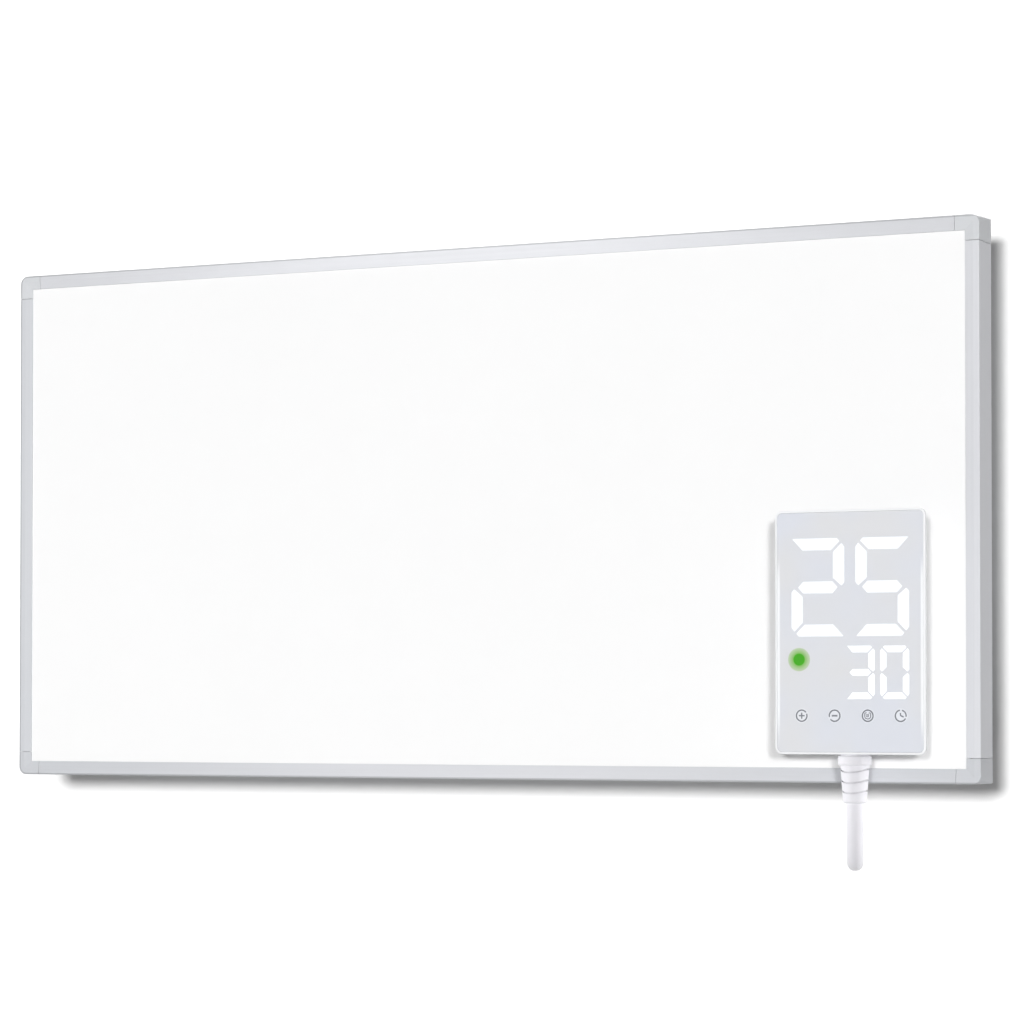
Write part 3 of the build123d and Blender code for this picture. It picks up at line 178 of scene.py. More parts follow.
def uneven_gloss(tree, scale, low, high):
    """Gives the shader a roughness that wanders between two values."""
    tree.set(Roughness=tree.spread(tree.noise(scale), low, high))


def grain(tree, scale, strength, depth, detail=3.0, under=None):
    """Shading normals of a fine noise of this depth, over the normals under it."""
    return tree.bump(tree.noise(scale, detail=detail), strength, depth, under)


# ---------------------------------------------------------------- the frame's materials
# painted sheen along a rail: up to where it has its pale tone, and from where its end tone, both from the
# panel's middle
RAIL_SHEEN_REACH = 0.03
RAIL_SHEEN_FADED_REACH = 0.29
# the faint lines drawn along a rail: their depth and how a noise is stretched to them
DRAWN_LINE_DEPTH = 0.03
LEVEL_LINES = (0.3, 1.0, 30.0)
UPRIGHT_LINES = (30.0, 1.0, 0.3)
# painted shade of the rounded outer front edge, as a thin dark line: its depth, where it starts and is full
# by its distance from the corner's middle, and how far back it reaches
EDGE_SHADE_DEPTH = 0.32
EDGE_SHADE_START = PANEL_CORNER_RADIUS - 0.0012
EDGE_SHADE_FULL = PANEL_CORNER_RADIUS - 0.0005
EDGE_SHADE_LAST_FULL_Y = FRAME_FRONT_Y + 0.0004
EDGE_SHADE_END_Y = FRAME_FRONT_Y + 0.0007
# painted shade: the right side face is a little darker than the front, as it is turned away from the light
SIDE_SHADE_DEPTH = 0.03
SIDE_SHADE_START_X = PANEL_HALF_WIDTH - 0.0003
SIDE_SHADE_FULL_X = PANEL_HALF_WIDTH - 0.0001
# the radius over which the shading turns round an edge
EDGE_SHADING_RADIUS = 0.0002


def edge_normal(tree):
    """Shading normals that turn softly round the edges of a solid."""
    return tree.add("ShaderNodeBevel", {"Radius": EDGE_SHADING_RADIUS}, samples=8).outputs[0]


def painted_edge_shade(tree):
    """Painted shade of the outer edge: 1 on the frame's front edge at the top, the bottom and the left, and
    0 elsewhere.
    """
    x, y, z = tree.axes()
    height = tree.math("ABSOLUTE", tree.math("SUBTRACT", z, PANEL_MIDDLE_Z))
    left_of_corner = tree.math("SUBTRACT", PANEL_CORNER_RADIUS - PANEL_HALF_WIDTH, x)
    past_corner = tree.math("SUBTRACT", height, PANEL_HALF_HEIGHT - PANEL_CORNER_RADIUS)
    over_x = tree.math("MAXIMUM", left_of_corner, 0.0)
    over_z = tree.math("MAXIMUM", past_corner, 0.0)
    reach = tree.distance(over_x, over_z)
    line = tree.spread(reach, low=0, high=1, start=EDGE_SHADE_START, end=EDGE_SHADE_FULL, smooth=True)
    front = tree.spread(y, low=1, high=0, start=EDGE_SHADE_LAST_FULL_Y, end=EDGE_SHADE_END_Y)
    return tree.math("MULTIPLY", line, front)


def frame_colour(tree, middle, ends, lines=(1.0, 1.0, 1.0)):
    """The frame's grey with painted light: palest half way along, a painted sheen, with faint drawn lines,
    painted shade on the right side face and the thin dark outer line, a painted shade of the outer edge.
    """
    reach = tree.math("ABSOLUTE", tree.axes()[0])
    # painted sheen: the rail is palest half way along and takes its end tone towards the ends
    along = tree.spread(reach, low=0, high=1, start=RAIL_SHEEN_REACH, end=RAIL_SHEEN_FADED_REACH, smooth=True)
    drawn = tree.noise(scale=22.0, detail=2.0, vector=tree.stretched(lines))
    # painted shade on the right side face
    painted_side_shade = tree.spread(tree.axes()[0], low=0, high=SIDE_SHADE_DEPTH, start=SIDE_SHADE_START_X, end=SIDE_SHADE_FULL_X)
    colour = tree.mix(along, middle, ends)
    colour = darkened(tree, colour, tree.spread(drawn, low=0, high=DRAWN_LINE_DEPTH, start=0.3, end=0.7))
    colour = darkened(tree, colour, painted_side_shade)
    # painted shade along the frame's outer front edge
    return darkened(tree, colour, tree.math("MULTIPLY", painted_edge_shade(tree), EDGE_SHADE_DEPTH))


def frame_coat(name, middle, ends, lines):
    """Powder-coated metal: a fine leathery grain under a soft sheen, over the frame's grey with its painted
    light.
    """
    tree = Tree(name)
    tree.set(Base_Color=frame_colour(tree, middle, ends, lines), Specular_IOR_Level=0.25)
    uneven_gloss(tree, scale=900.0, low=0.36, high=0.50)
    edges = edge_normal(tree)
    coarse = grain(tree, scale=420.0, strength=0.10, depth=0.0002, detail=2.0, under=edges)
    tree.set(Normal=grain(tree, scale=1900.0, strength=0.16, depth=0.00006, detail=1.0, under=coarse))
    return tree.material


def corner_plastic(name, colour):
    """The moulded corner covers, in the frame's grey with its painted light and painted edge shade."""
    tree = Tree(name)
    tree.set(Base_Color=frame_colour(tree, colour, colour), Specular_IOR_Level=0.25)
    uneven_gloss(tree, scale=1400.0, low=0.38, high=0.48)
    edges = edge_normal(tree)
    tree.set(Normal=grain(tree, scale=2600.0, strength=0.08, depth=0.00005, detail=2.0, under=edges))
    return tree.material


# ---------------------------------------------------------------- plain materials
def moulded(name, colour, roughness=0.38, coarseness=0.6):
    """Moulded plastic with a spark-eroded surface."""
    tree = Tree(name)
    tree.set(Base_Color=mottled(tree, colour, amount=0.010, scale=30.0), Specular_IOR_Level=0.5)
    uneven_gloss(tree, scale=1400.0, low=roughness - 0.05, high=roughness + 0.06)
    tree.set(Normal=grain(tree, scale=2600.0, strength=0.14 * coarseness, depth=0.00005, detail=2.0))
    return tree.material


def spangled_zinc(name):
    """Hot-dip coated sheet with its crystal pattern."""
    tree = Tree(name)
    cells = tree.add("ShaderNodeTexVoronoi", {"Vector": tree.place(), "Scale": 95.0})
    tone = tree.add("ShaderNodeSeparateColor", {"Color": cells.outputs["Color"]}).outputs[0]
    scratches = tree.noise(scale=260.0, vector=tree.stretched((0.08, 1.0, 1.0)))
    uneven = tree.math("ADD", tone, scratches)
    tree.set(Base_Color=tree.mix(tone, linear(186, 190, 194), linear(206, 209, 212)), Metallic=0.85)
    tree.set(Roughness=tree.spread(uneven, low=0.34, high=0.52, start=0.2, end=1.6))
    tree.set(Normal=grain(tree, scale=1100.0, strength=0.08, depth=0.00005))
    return tree.material


def brushed_metal(name, colour, roughness=0.32, along=(0.05, 1.0, 1.0)):
    """Plated or brushed metal with lines along one axis."""
    tree = Tree(name)
    lines = tree.noise(scale=2200.0, detail=4.0, vector=tree.stretched(along))
    tree.set(Base_Color=tree.mix(lines, shade(colour, 0.93), shade(colour, 1.05)), Metallic=1.0)
    tree.set(Roughness=tree.spread(lines, low=roughness - 0.06, high=roughness + 0.12))
    tree.set(Normal=tree.bump(lines, strength=0.10, distance=0.00004))
    return tree.material


def rubber(name, colour, roughness=0.68):
    """Matt rubber or soft insulation."""
    tree = Tree(name)
    tree.set(Base_Color=mottled(tree, colour, amount=0.05, scale=160.0), Specular_IOR_Level=0.35)
    uneven_gloss(tree, scale=700.0, low=roughness - 0.08, high=roughness + 0.08)
    tree.set(Normal=grain(tree, scale=1700.0, strength=0.22, depth=0.00008))
    return tree.material


def fibre_board(name):
    """Pressed mineral fibre."""
    tree = Tree(name)
    strands = tree.noise(scale=900.0, detail=5.0, vector=tree.stretched((0.15, 1.0, 0.6)))
    tree.set(Base_Color=tree.mix(strands, linear(188, 176, 138), linear(226, 216, 182)))
    tree.set(Roughness=0.95, Specular_IOR_Level=0.2)
    tree.set(Normal=tree.bump(strands, strength=0.7, distance=0.0006))
    return tree.material


def bright_foil(name):
    """Creased reflecting foil."""
    tree = Tree(name)
    creases = tree.noise(scale=120.0, detail=5.0)
    tree.set(Base_Color=mottled(tree, linear(222, 224, 228), amount=0.03, scale=60.0), Metallic=1.0)
    tree.set(Roughness=tree.spread(creases, low=0.10, high=0.22))
    tree.set(Normal=tree.bump(creases, strength=0.35, distance=0.0003))
    return tree.material


def laminate(name):
    """The dark heating laminate, with its faint printed conductor lines."""
    tree = Tree(name)
    wave = tree.add("ShaderNodeTexWave", {"Vector": tree.place(), "Scale": 62.0}, bands_direction="Z")
    stripe = tree.spread(wave.outputs["Fac"], low=0, high=1, start=0.45, end=0.55)
    tree.set(Base_Color=tree.mix(stripe, linear(38, 35, 33), linear(52, 48, 45)), Roughness=0.5)
    tree.set(Normal=grain(tree, scale=800.0, strength=0.1, depth=0.0001))
    return tree.material


def circuit_board(name):
    """Green lacquer over faint copper tracks."""
    tree = Tree(name)
    values = {"Vector": tree.place(), "Scale": 240.0}
    cells = tree.add("ShaderNodeTexVoronoi", values, distance="MANHATTAN")
    tracks = tree.spread(cells.outputs["Distance"], low=0, high=1, start=0.28, end=0.34)
    tree.set(Base_Color=tree.mix(tracks, linear(52, 112, 74), linear(24, 78, 48)))
    tree.set(Roughness=0.3, Coat_Weight=0.5, Normal=tree.bump(tracks, strength=0.2, distance=0.00004))
    return tree.material


def front_enamel(name):
    """The white coat of the heated plate."""
    tree = Tree(name)
    white = mottled(tree, linear(247, 247, 247), amount=0.004, scale=9.0)
    tree.set(Base_Color=white, Specular_IOR_Level=0.4)
    uneven_gloss(tree, scale=700.0, low=0.40, high=0.52)
    coarse = grain(tree, scale=330.0, strength=0.05, depth=0.0002, detail=2.0)
    tree.set(Normal=grain(tree, scale=1500.0, strength=0.08, depth=0.00005, detail=1.0, under=coarse))
    return tree.material


# painted shade deep in a groove, by how much of the near surroundings is open there
GROOVE_SHADE_DEPTH = 0.24
GROOVE_SHADE_REACH = 0.0012
GROOVE_SHADE_CLOSED = 0.25
GROOVE_SHADE_OPEN = 0.85


def lead_sleeve(name, colour):
    """Soft white sleeving with a faint drawn grain, and painted shade in its grooves."""
    tree = Tree(name)
    nearby = tree.add("ShaderNodeAmbientOcclusion", {"Distance": GROOVE_SHADE_REACH}, samples=8, only_local=True)
    openness = nearby.outputs["AO"]
    painted_groove_shade = tree.spread(openness, low=GROOVE_SHADE_DEPTH, high=0, start=GROOVE_SHADE_CLOSED, end=GROOVE_SHADE_OPEN)
    white = mottled(tree, colour, amount=0.010, scale=80.0)
    tree.set(Base_Color=darkened(tree, white, painted_groove_shade), Specular_IOR_Level=0.5)
    uneven_gloss(tree, scale=1100.0, low=0.40, high=0.50)
    tree.set(Coat_Weight=0.5, Coat_Roughness=0.15, Sheen_Weight=0.3, Sheen_Roughness=0.3)
    tree.set(Normal=grain(tree, scale=1500.0, strength=0.10, depth=0.00006))
    return tree.material


# ---------------------------------------------------------------- the display's materials
GLASS_COOL = linear(216, 219, 227)
GLASS_WARM = linear(218, 219, 222)
# a painted glint: the pale line beside each long edge of the glass, in metres about the unit's middle: its
# place, its width, and between which heights it is there and is full
GLINT_WHITE = linear(248, 250, 252)
GLINT_STRENGTH = 0.9
GLINT_X = 0.0399
GLINT_CORE = 0.0002
GLINT_EDGE = 0.0013
GLINT_BOTTOM_Z = -0.062
GLINT_FULL_FROM_Z = -0.040
GLINT_FULL_TO_Z = 0.026
GLINT_TOP_Z = 0.042
# the pale round field behind each key sign: its radii in metres
FIELD_WHITE = linear(240, 242, 247)
FIELD_STRENGTH = 0.45
FIELD_CORE = 0.0033
FIELD_EDGE = 0.0043


def glass_glint(tree, across, along):
    """How strong the painted glints, the pale lines beside the glass's long edges, are."""
    offset = tree.math("ABSOLUTE", tree.math("SUBTRACT", tree.math("ABSOLUTE", across), GLINT_X))
    line = tree.spread(offset, low=GLINT_STRENGTH, high=0, start=GLINT_CORE, end=GLINT_EDGE, smooth=True)
    upper = tree.spread(along, low=1, high=0, start=GLINT_FULL_TO_Z, end=GLINT_TOP_Z, smooth=True)
    lower = tree.spread(along, low=0, high=1, start=GLINT_BOTTOM_Z, end=GLINT_FULL_FROM_Z, smooth=True)
    return tree.math("MULTIPLY", line, tree.math("MULTIPLY", upper, lower))


def key_fields(tree, across, along):
    """How strong the pale fields behind the key signs are."""
    gaps = [tree.math("ABSOLUTE", tree.math("SUBTRACT", across, key_x * MM)) for key_x in KEY_XS]
    nearest = gaps[0]
    for gap in gaps[1:]:
        nearest = tree.math("MINIMUM", nearest, gap)
    distance = tree.distance(nearest, tree.math("SUBTRACT", along, KEY_Z * MM))
    return tree.spread(distance, low=FIELD_STRENGTH, high=0, start=FIELD_CORE, end=FIELD_EDGE, smooth=True)


def screen_glass(name):
    """Back-painted glass: grey-lavender, with a painted glint along each long edge and pale key fields."""
    tree = Tree(name)
    x, _, z = tree.axes()
    across = tree.math("SUBTRACT", x, CONTROL_X)
    along = tree.math("SUBTRACT", z, CONTROL_Z)
    cloud = tree.spread(tree.noise(scale=26.0, detail=1.0), low=0, high=1, start=0.35, end=0.65)
    paint = tree.mix(cloud, GLASS_COOL, GLASS_WARM)
    paint = tree.mix(key_fields(tree, across, along), paint, FIELD_WHITE)
    tree.set(Base_Color=tree.mix(glass_glint(tree, across, along), paint, GLINT_WHITE))
    tree.set(Roughness=0.12, Specular_IOR_Level=0.5, Coat_Weight=0.6, Coat_Roughness=0.03)
    tree.set(Normal=grain(tree, scale=60.0, strength=0.02, depth=0.0002, detail=1.0))
    return tree.material


def lit_plastic(name, colour, strength):
    """A lit part of the display."""
    tree = Tree(name)
    tree.set(Base_Color=mottled(tree, colour, amount=0.01, scale=400.0), Roughness=0.3)
    tree.set(Emission_Color=colour, Emission_Strength=strength)
    return tree.material


# the lamp's colours from the core out, and the radii in millimetres where they blend
LAMP_CORE_GREEN = linear(68, 159, 38)
LAMP_RING_GREEN = linear(130, 179, 99)
LAMP_RIM_GREEN = linear(184, 197, 172)
LAMP_RING_START = 3.4
LAMP_CORE_BLUR = 0.3


def lamp_glow(name):
    """The green lamp: a full core, then a ring that pales outwards."""
    tree = Tree(name)
    x, _, z = tree.axes()
    across = tree.math("SUBTRACT", x, CONTROL_X + LAMP_X * MM)
    along = tree.math("SUBTRACT", z, CONTROL_Z + LAMP_Z * MM)
    distance = tree.distance(across, along)
    outer = tree.spread(distance, low=0, high=1, start=LAMP_RING_START * MM, end=LAMP_GLOW_RADIUS * MM)
    core_start = (LAMP_CORE_RADIUS - LAMP_CORE_BLUR) * MM
    core_end = (LAMP_CORE_RADIUS + LAMP_CORE_BLUR) * MM
    core = tree.spread(distance, low=0, high=1, start=core_start, end=core_end, smooth=True)
    colour = tree.mix(core, LAMP_CORE_GREEN, tree.mix(outer, LAMP_RING_GREEN, LAMP_RIM_GREEN))
    tree.set(Base_Color=colour, Roughness=0.3, Specular_IOR_Level=0.2)
    tree.set(Emission_Color=colour, Emission_Strength=0.12)
    return tree.material


def printed_ink(name, colour):
    """Ink printed on the glass."""
    tree = Tree(name)
    tree.set(Base_Color=mottled(tree, colour, amount=0.03, scale=900.0), Roughness=0.45)
    return tree.material


# ---------------------------------------------------------------- flat pieces on the glass
# how much of a bar's side the curve at its corner may take
LARGEST_SHARE = 0.4


def new_object(name, mesh, material, body="control_unit"):
    obj = bpy.data.objects.new(name, mesh)
    bpy.context.scene.collection.objects.link(obj)
    mesh.materials.append(material)
    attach(obj, body)
    return obj


def turned_left(outline):
    """The outline in the order that runs round it to the left, seen from the front."""
    twice_area = 0.0
    for i, (x, z) in enumerate(outline):
        before_x, before_z = outline[i - 1]
        twice_area += before_x * z - x * before_z
    return outline if twice_area > 0 else outline[::-1]


def front_plates(name, outlines, thick, material):
    """Thin flat pieces on the glass from (x, z) outlines in millimetres about the unit's middle."""
    corners, faces = [], []
    for outline in outlines:
        outline = turned_left(outline)
        front = [len(corners) + i for i in range(len(outline))]
        rear = [corner + len(outline) for corner in front]
        for y in (GLASS_Y - thick, GLASS_Y):
            corners += [(CONTROL_X + x * MM, y, CONTROL_Z + z * MM) for x, z in outline]
        faces += [front, rear[::-1]]
        faces += [(front[i - 1], rear[i - 1], rear[i], front[i]) for i in range(len(outline))]
    mesh = bpy.data.meshes.new(name)
    mesh.from_pydata(corners, [], faces)
    return new_object(name, mesh, material)


def rounded(points, radius):
    """An outline with each corner replaced by a small curve, which takes at most a part of a side."""
    result = []
    count = len(points)
    for i, point in enumerate(points):
        here = Vector(point)
        ends = []
        for other in (Vector(points[i - 1]), Vector(points[(i + 1) % count])):
            step = other - here
            ends.append(here + step.normalized() * min(radius, step.length * LARGEST_SHARE))
        before, after = ends
        curve_middle = before * 0.25 + here * 0.5 + after * 0.25
        result += [before, curve_middle, after]
    return [tuple(point) for point in result]


def grown(outline, margin):
    """A convex outline moved outwards by a margin."""
    middle = Vector((0, 0))
    for point in outline:
        middle += Vector(point) / len(outline)
    result = []
    count = len(outline)
    for i, point in enumerate(outline):
        before, here, after = Vector(outline[i - 1]), Vector(point), Vector(outline[(i + 1) % count])
        normal = Vector((0, 0))
        for step in (here - before, after - here):
            side = Vector((step.y, -step.x)).normalized()
            if side.dot(here - middle) < 0:
                side = -side
            normal += side
        normal.normalize()
        result.append(tuple(here + normal * margin))
    return result


def ribbon(points, width):
    """The outline of a flat line of one width along points."""
    spots = [Vector(point) for point in points]
    left, right = [], []
    for i, here in enumerate(spots):
        before = spots[max(i - 1, 0)]
        after = spots[min(i + 1, len(spots) - 1)]
        along = (after - before).normalized()
        across = Vector((-along.y, along.x)) * width / 2
        left.append(tuple(here + across))
        right.append(tuple(here - across))
    return left + right[::-1]


def arc(middle, radius, start, end, steps):
    """Points on an arc, angles in degrees from +X towards +Z."""
    turns = [math.radians(start + (end - start) * i / steps) for i in range(steps + 1)]
    return [(middle[0] + radius * math.cos(t), middle[1] + radius * math.sin(t)) for t in turns]


# ---------------------------------------------------------------- seven-bar digits
class Digits:
    """The bars of one size of digit, in millimetres from the digit's lower left corner."""

    # how far the bars' slanted ends run, as shares of the clipped corner or of the bar's width
    LEVEL_SLANT = 0.9
    UPPER_SLANT = 1.3
    LOWER_SLANT = 1.1
    WAIST_SLANT = 0.875
    MIDDLE_SLANT = 0.46

    def __init__(self, width, height, bar, end_gap, clip, middle_gap, middle_tip, free, radius):
        self.width = width
        self.height = height
        self.bar = bar
        self.end_gap = end_gap
        self.clip = clip
        self.middle_gap = middle_gap
        self.middle_tip = middle_tip
        self.free = free
        self.radius = radius

    def level_end(self, mitred):
        """Corners of a level bar's end, inner edge first, as (in from the side, in from the edge)."""
        if not mitred:
            return [(self.bar, self.bar), (self.free, 0.0)]
        tip = self.clip + self.end_gap
        outer = tip + self.clip * self.LEVEL_SLANT
        return [(self.bar + self.end_gap, self.bar), (tip, self.clip), (outer, 0.0)]

    def level_bar(self, left_mitred, right_mitred):
        """The upper bar, as (x, down from the top)."""
        left = self.level_end(left_mitred)
        right = [(self.width - x, down) for x, down in reversed(self.level_end(right_mitred))]
        return left + right

    def side_bar(self):
        """The upper left bar, as (x, down from the top)."""
        top = self.clip + self.end_gap
        waist = self.height / 2 - self.middle_gap
        return [
            (0.0, top + self.clip * self.UPPER_SLANT),
            (self.clip, top),
            (self.bar, self.bar + self.end_gap),
            (self.bar, waist - self.WAIST_SLANT * (self.bar - self.clip)),
            (self.clip, waist),
            (0.0, waist - self.clip * self.LOWER_SLANT),
        ]

    def middle_bar(self):
        """The bar at half height, as (x, down from the top)."""
        half = self.bar / 2
        left = self.middle_tip
        right = self.width - left
        corner = self.bar * self.MIDDLE_SLANT
        centre = self.height / 2
        return [
            (left, centre),
            (left + corner, centre - half),
            (right - corner, centre - half),
            (right, centre),
            (right - corner, centre + half),
            (left + corner, centre + half),
        ]

    def outlines(self, bars, left, bottom):
        """The outlines of the named bars of one digit: a to g, clockwise from the top."""
        made = []
        for bar in bars:
            if bar == "g":
                points = self.middle_bar()
            elif bar in "ad":
                sides = ("f", "b") if bar == "a" else ("e", "c")
                points = self.level_bar(*[side in bars for side in sides])
            else:
                points = self.side_bar()
            if bar in "bc":
                points = [(self.width - x, down) for x, down in points]
            if bar in "cde":
                points = [(x, self.height - down) for x, down in points]
            placed = [(left + x, bottom + self.height - down) for x, down in points]
            made.append(rounded(placed, self.radius))
        return made


BARS = {"2": "abged", "5": "afgcd", "3": "abgcd", "0": "abcdef"}
LARGE = Digits(
    width=29.4,
    height=51.7,
    bar=6.15,
    end_gap=1.15,
    clip=1.5,
    middle_gap=0.85,
    middle_tip=3.7,
    free=0.4,
    radius=0.45,
)
SMALL = Digits(
    width=15.9,
    height=28.0,
    bar=3.5,
    end_gap=0.5,
    clip=0.9,
    middle_gap=0.36,
    middle_tip=2.0,
    free=0.7,
    radius=0.28,
)
LARGE_PLACES = (("2", -32.4), ("5", 3.35))
SMALL_PLACES = (("3", -2.05), ("0", 16.9))
LARGE_BOTTOM = -2.15
SMALL_BOTTOM = -35.3
LARGE_HALO = 0.35
SMALL_HALO = 0.25

# how thick each thing on the glass is, in metres
PRINT_THICKNESS = 0.00006
LAMP_THICKNESS = 0.00004
HALO_THICKNESS = 0.00003


def digit_outlines(digits, places, bottom):
    """The bars of all digits of one size, each digit given with its left edge."""
    return [outline for digit, left in places for outline in digits.outlines(BARS[digit], left, bottom)]


def digit_pieces():
    """The two readings, each with its faint halo."""
    white = lit_plastic("display_lit", linear(250, 251, 252), strength=0.10)
    halo = lit_plastic("display_halo", linear(220, 223, 229), strength=0.02)
    large = digit_outlines(LARGE, LARGE_PLACES, LARGE_BOTTOM)
    small = digit_outlines(SMALL, SMALL_PLACES, SMALL_BOTTOM)
    large_halo = [grown(outline, LARGE_HALO) for outline in large]
    small_halo = [grown(outline, SMALL_HALO) for outline in small]
    front_plates("large_digits", large, PRINT_THICKNESS, white)
    front_plates("small_digits", small, PRINT_THICKNESS, white)
    front_plates("large_digit_halo", large_halo, HALO_THICKNESS, halo)
    front_plates("small_digit_halo", small_halo, HALO_THICKNESS, halo)


# ---------------------------------------------------------------- key signs and lamp
LAMP_POINTS = 48
RING_RADIUS = 2.95
RING_LINE = 0.72
RING_STEPS = 28
CROSS_LINE = 0.7
MINUS_LINE = 0.85
SHIELD_LINE = 0.5
CLOCK_LINE = 0.72

SHIELD_LEFT = ((-0.6, 1.55), (-1.45, 1.45), (-1.65, 0.9), (-1.6, -0.7), (-1.1, -1.4), (0, -1.7))
SHIELD = SHIELD_LEFT + tuple((-x, z) for x, z in reversed(SHIELD_LEFT[:-1]))

# the signs for raise, lower, mode and timer: the spans of the ring in degrees, then the other lines
# as (width, points) in millimetres about the key's middle
RAISE_SIGN = (
    ((37, 381),),
    (
        (CROSS_LINE, ((-1.6, 0), (1.6, 0))),
        (CROSS_LINE, ((0, 0.35), (0, 1.6))),
        (CROSS_LINE, ((0, -0.35), (0, -1.6))),
    ),
)
LOWER_SIGN = (
    ((218, 554),),
    ((MINUS_LINE, ((-1.6, 0), (1.6, 0))),),
)
MODE_SIGN = (
    ((0, 360),),
    (
        (SHIELD_LINE, SHIELD),
        (SHIELD_LINE, ((-1.0, 0.45), (0.0, 0.45))),
        (SHIELD_LINE, ((0.3, 1.0), (0.3, -0.7))),
        (SHIELD_LINE, ((-0.9, -0.2), (-0.1, -0.6))),
    ),
)
TIMER_SIGN = (
    ((98, 332), (-9, 77)),
    ((CLOCK_LINE, ((-0.15, 1.5), (-0.1, 0.25), (0.5, -0.15), (1.6, -0.6))),),
)
KEY_SIGNS = (RAISE_SIGN, LOWER_SIGN, MODE_SIGN, TIMER_SIGN)


def ring_halves(middle, start, end):
    """A key's ring between two angles, in two halves since an outline may not meet itself."""
    half = (start + end) / 2
    return [arc(middle, RING_RADIUS, low, high, RING_STEPS) for low, high in ((start, half), (half, end))]


def key_signs():
    """The lines of the four touch keys' signs."""
    signs = []
    for key_x, (spans, lines) in zip(KEY_XS, KEY_SIGNS):
        for start, end in spans:
            signs += [ribbon(points, RING_LINE) for points in ring_halves((key_x, KEY_Z), start, end)]
        for width, points in lines:
            signs.append(ribbon([(key_x + x, KEY_Z + z) for x, z in points], width))
    ink = printed_ink("key_ink", linear(122, 125, 132))
    front_plates("key_signs", signs, PRINT_THICKNESS, ink)


def lamp_disc():
    """The round glow of the lamp."""
    last_angle = 360 * (LAMP_POINTS - 1) / LAMP_POINTS
    outline = arc((LAMP_X, LAMP_Z), LAMP_GLOW_RADIUS, 0, last_angle, LAMP_POINTS - 1)
    front_plates("lamp_disc", [outline], LAMP_THICKNESS, lamp_glow("lamp_green"))


# ---------------------------------------------------------------- link lead
LEAD_WHITE = linear(231, 230, 235)
RELIEF_WHITE = linear(234, 233, 238)
# the lead's plane is turned this far from straight back, towards the terminal box
LEAD_TURN = math.radians(19.3)
# the curve's points in that plane: how far back, and how far below the control unit
LEAD_ROUTE = (
    (0.0, -0.0140),
    (0.0, 0.0166),
    (0.0, 0.0412),
    (0.0174, 0.0586),
    (0.0419, 0.0586),
    (0.0593, 0.0412),
    (0.0593, 0.0166),
    (0.0593, -0.0144),
)


def lead_curve():
    """The lead's round line along its route."""
    curve = bpy.data.curves.new("link_lead_sleeve", "CURVE")
    curve.dimensions = "3D"
    spline = curve.splines.new("NURBS")
    spline.points.add(len(LEAD_ROUTE) - 1)
    for point, (back, below) in zip(spline.points, LEAD_ROUTE):
        x = CONTROL_X - back * math.sin(LEAD_TURN)
        y = LEAD_Y + back * math.cos(LEAD_TURN)
        point.co = (x, y, CONTROL_BOTTOM_Z - below, 1.0)
    spline.order_u = 3
    spline.use_endpoint_u = True
    spline.resolution_u = 16
    curve.bevel_depth = LEAD_DIAMETER / 2
    curve.bevel_resolution = 8
    curve.use_fill_caps = True
    return curve


def link_lead():
    """The white lead: down out of the strain relief, round under the panel and up into its box."""
    curve = lead_curve()
    lead = bpy.data.objects.new("link_lead_sleeve", curve)
    bpy.context.scene.collection.objects.link(lead)
    curve.materials.append(lead_sleeve("lead_sleeve", LEAD_WHITE))
    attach(lead, "control_unit")
    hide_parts("link_lead")
    return lead


# ---------------------------------------------------------------- dressing the solids
# lit and shaded copies of the frame's one grey, with painted light: the top rail palest and the left
# darkest; the top and bottom rails are palest half way along, a painted sheen, and the top corners are
# paler than the bottom ones
TOP_RAIL_LIT_MIDDLE = linear(234, 235, 239)
TOP_RAIL_LIT_ENDS = linear(212, 213, 217)
BOTTOM_RAIL_LIT_MIDDLE = linear(218, 219, 223)
BOTTOM_RAIL_LIT_ENDS = linear(202, 204, 208)
LEFT_RAIL_SHADED_GREY = linear(207, 209, 213)
RIGHT_RAIL_LIT_GREY = linear(218, 219, 223)
TOP_CORNER_LIT_GREY = linear(211, 213, 216)
BOTTOM_CORNER_SHADED_GREY = linear(202, 204, 208)
BOX_GREY = linear(206, 208, 210)
BLOCK_WHITE = linear(232, 232, 228)
SLEEVE_WHITE = linear(234, 232, 226)
CERAMIC_WHITE = linear(232, 228, 218)
UNIT_WHITE = linear(243, 244, 246)
LIGHT_BLOCK_WHITE = linear(226, 228, 232)
LENS_GREEN = linear(76, 172, 54)
RUBBER_BLACK = linear(58, 58, 60)
PART_BLACK = linear(36, 36, 38)
WIRE_RED = linear(176, 52, 40)
STEEL = linear(190, 192, 196)
SCREW_STEEL = linear(200, 202, 206)
COPPER = linear(196, 128, 96)
BRASS = linear(206, 176, 104)

LINES_ALONG_Z = (1.0, 1.0, 0.05)
NO_LINES = (1.0, 1.0, 1.0)

RAILS = (
    ("top", TOP_RAIL_LIT_MIDDLE, TOP_RAIL_LIT_ENDS, LEVEL_LINES),
    ("bottom", BOTTOM_RAIL_LIT_MIDDLE, BOTTOM_RAIL_LIT_ENDS, LEVEL_LINES),
    ("left", LEFT_RAIL_SHADED_GREY, LEFT_RAIL_SHADED_GREY, UPRIGHT_LINES),
    ("right", RIGHT_RAIL_LIT_GREY, RIGHT_RAIL_LIT_GREY, UPRIGHT_LINES),
)
CORNERS = (("top", TOP_CORNER_LIT_GREY), ("bottom", BOTTOM_CORNER_SHADED_GREY))
SCREWS = (
    "corner_screws",
    "blind_rivets",
    "terminal_box_screws",
    "control_screws",
    "hanging_studs",
    "stud_nuts",
    "touch_springs",
)


def dress(material, *names):
    """Gives CAD nodes a material."""
    for name in names:
        slots = nodes[name].data.materials
        slots.clear()
        slots.append(material)


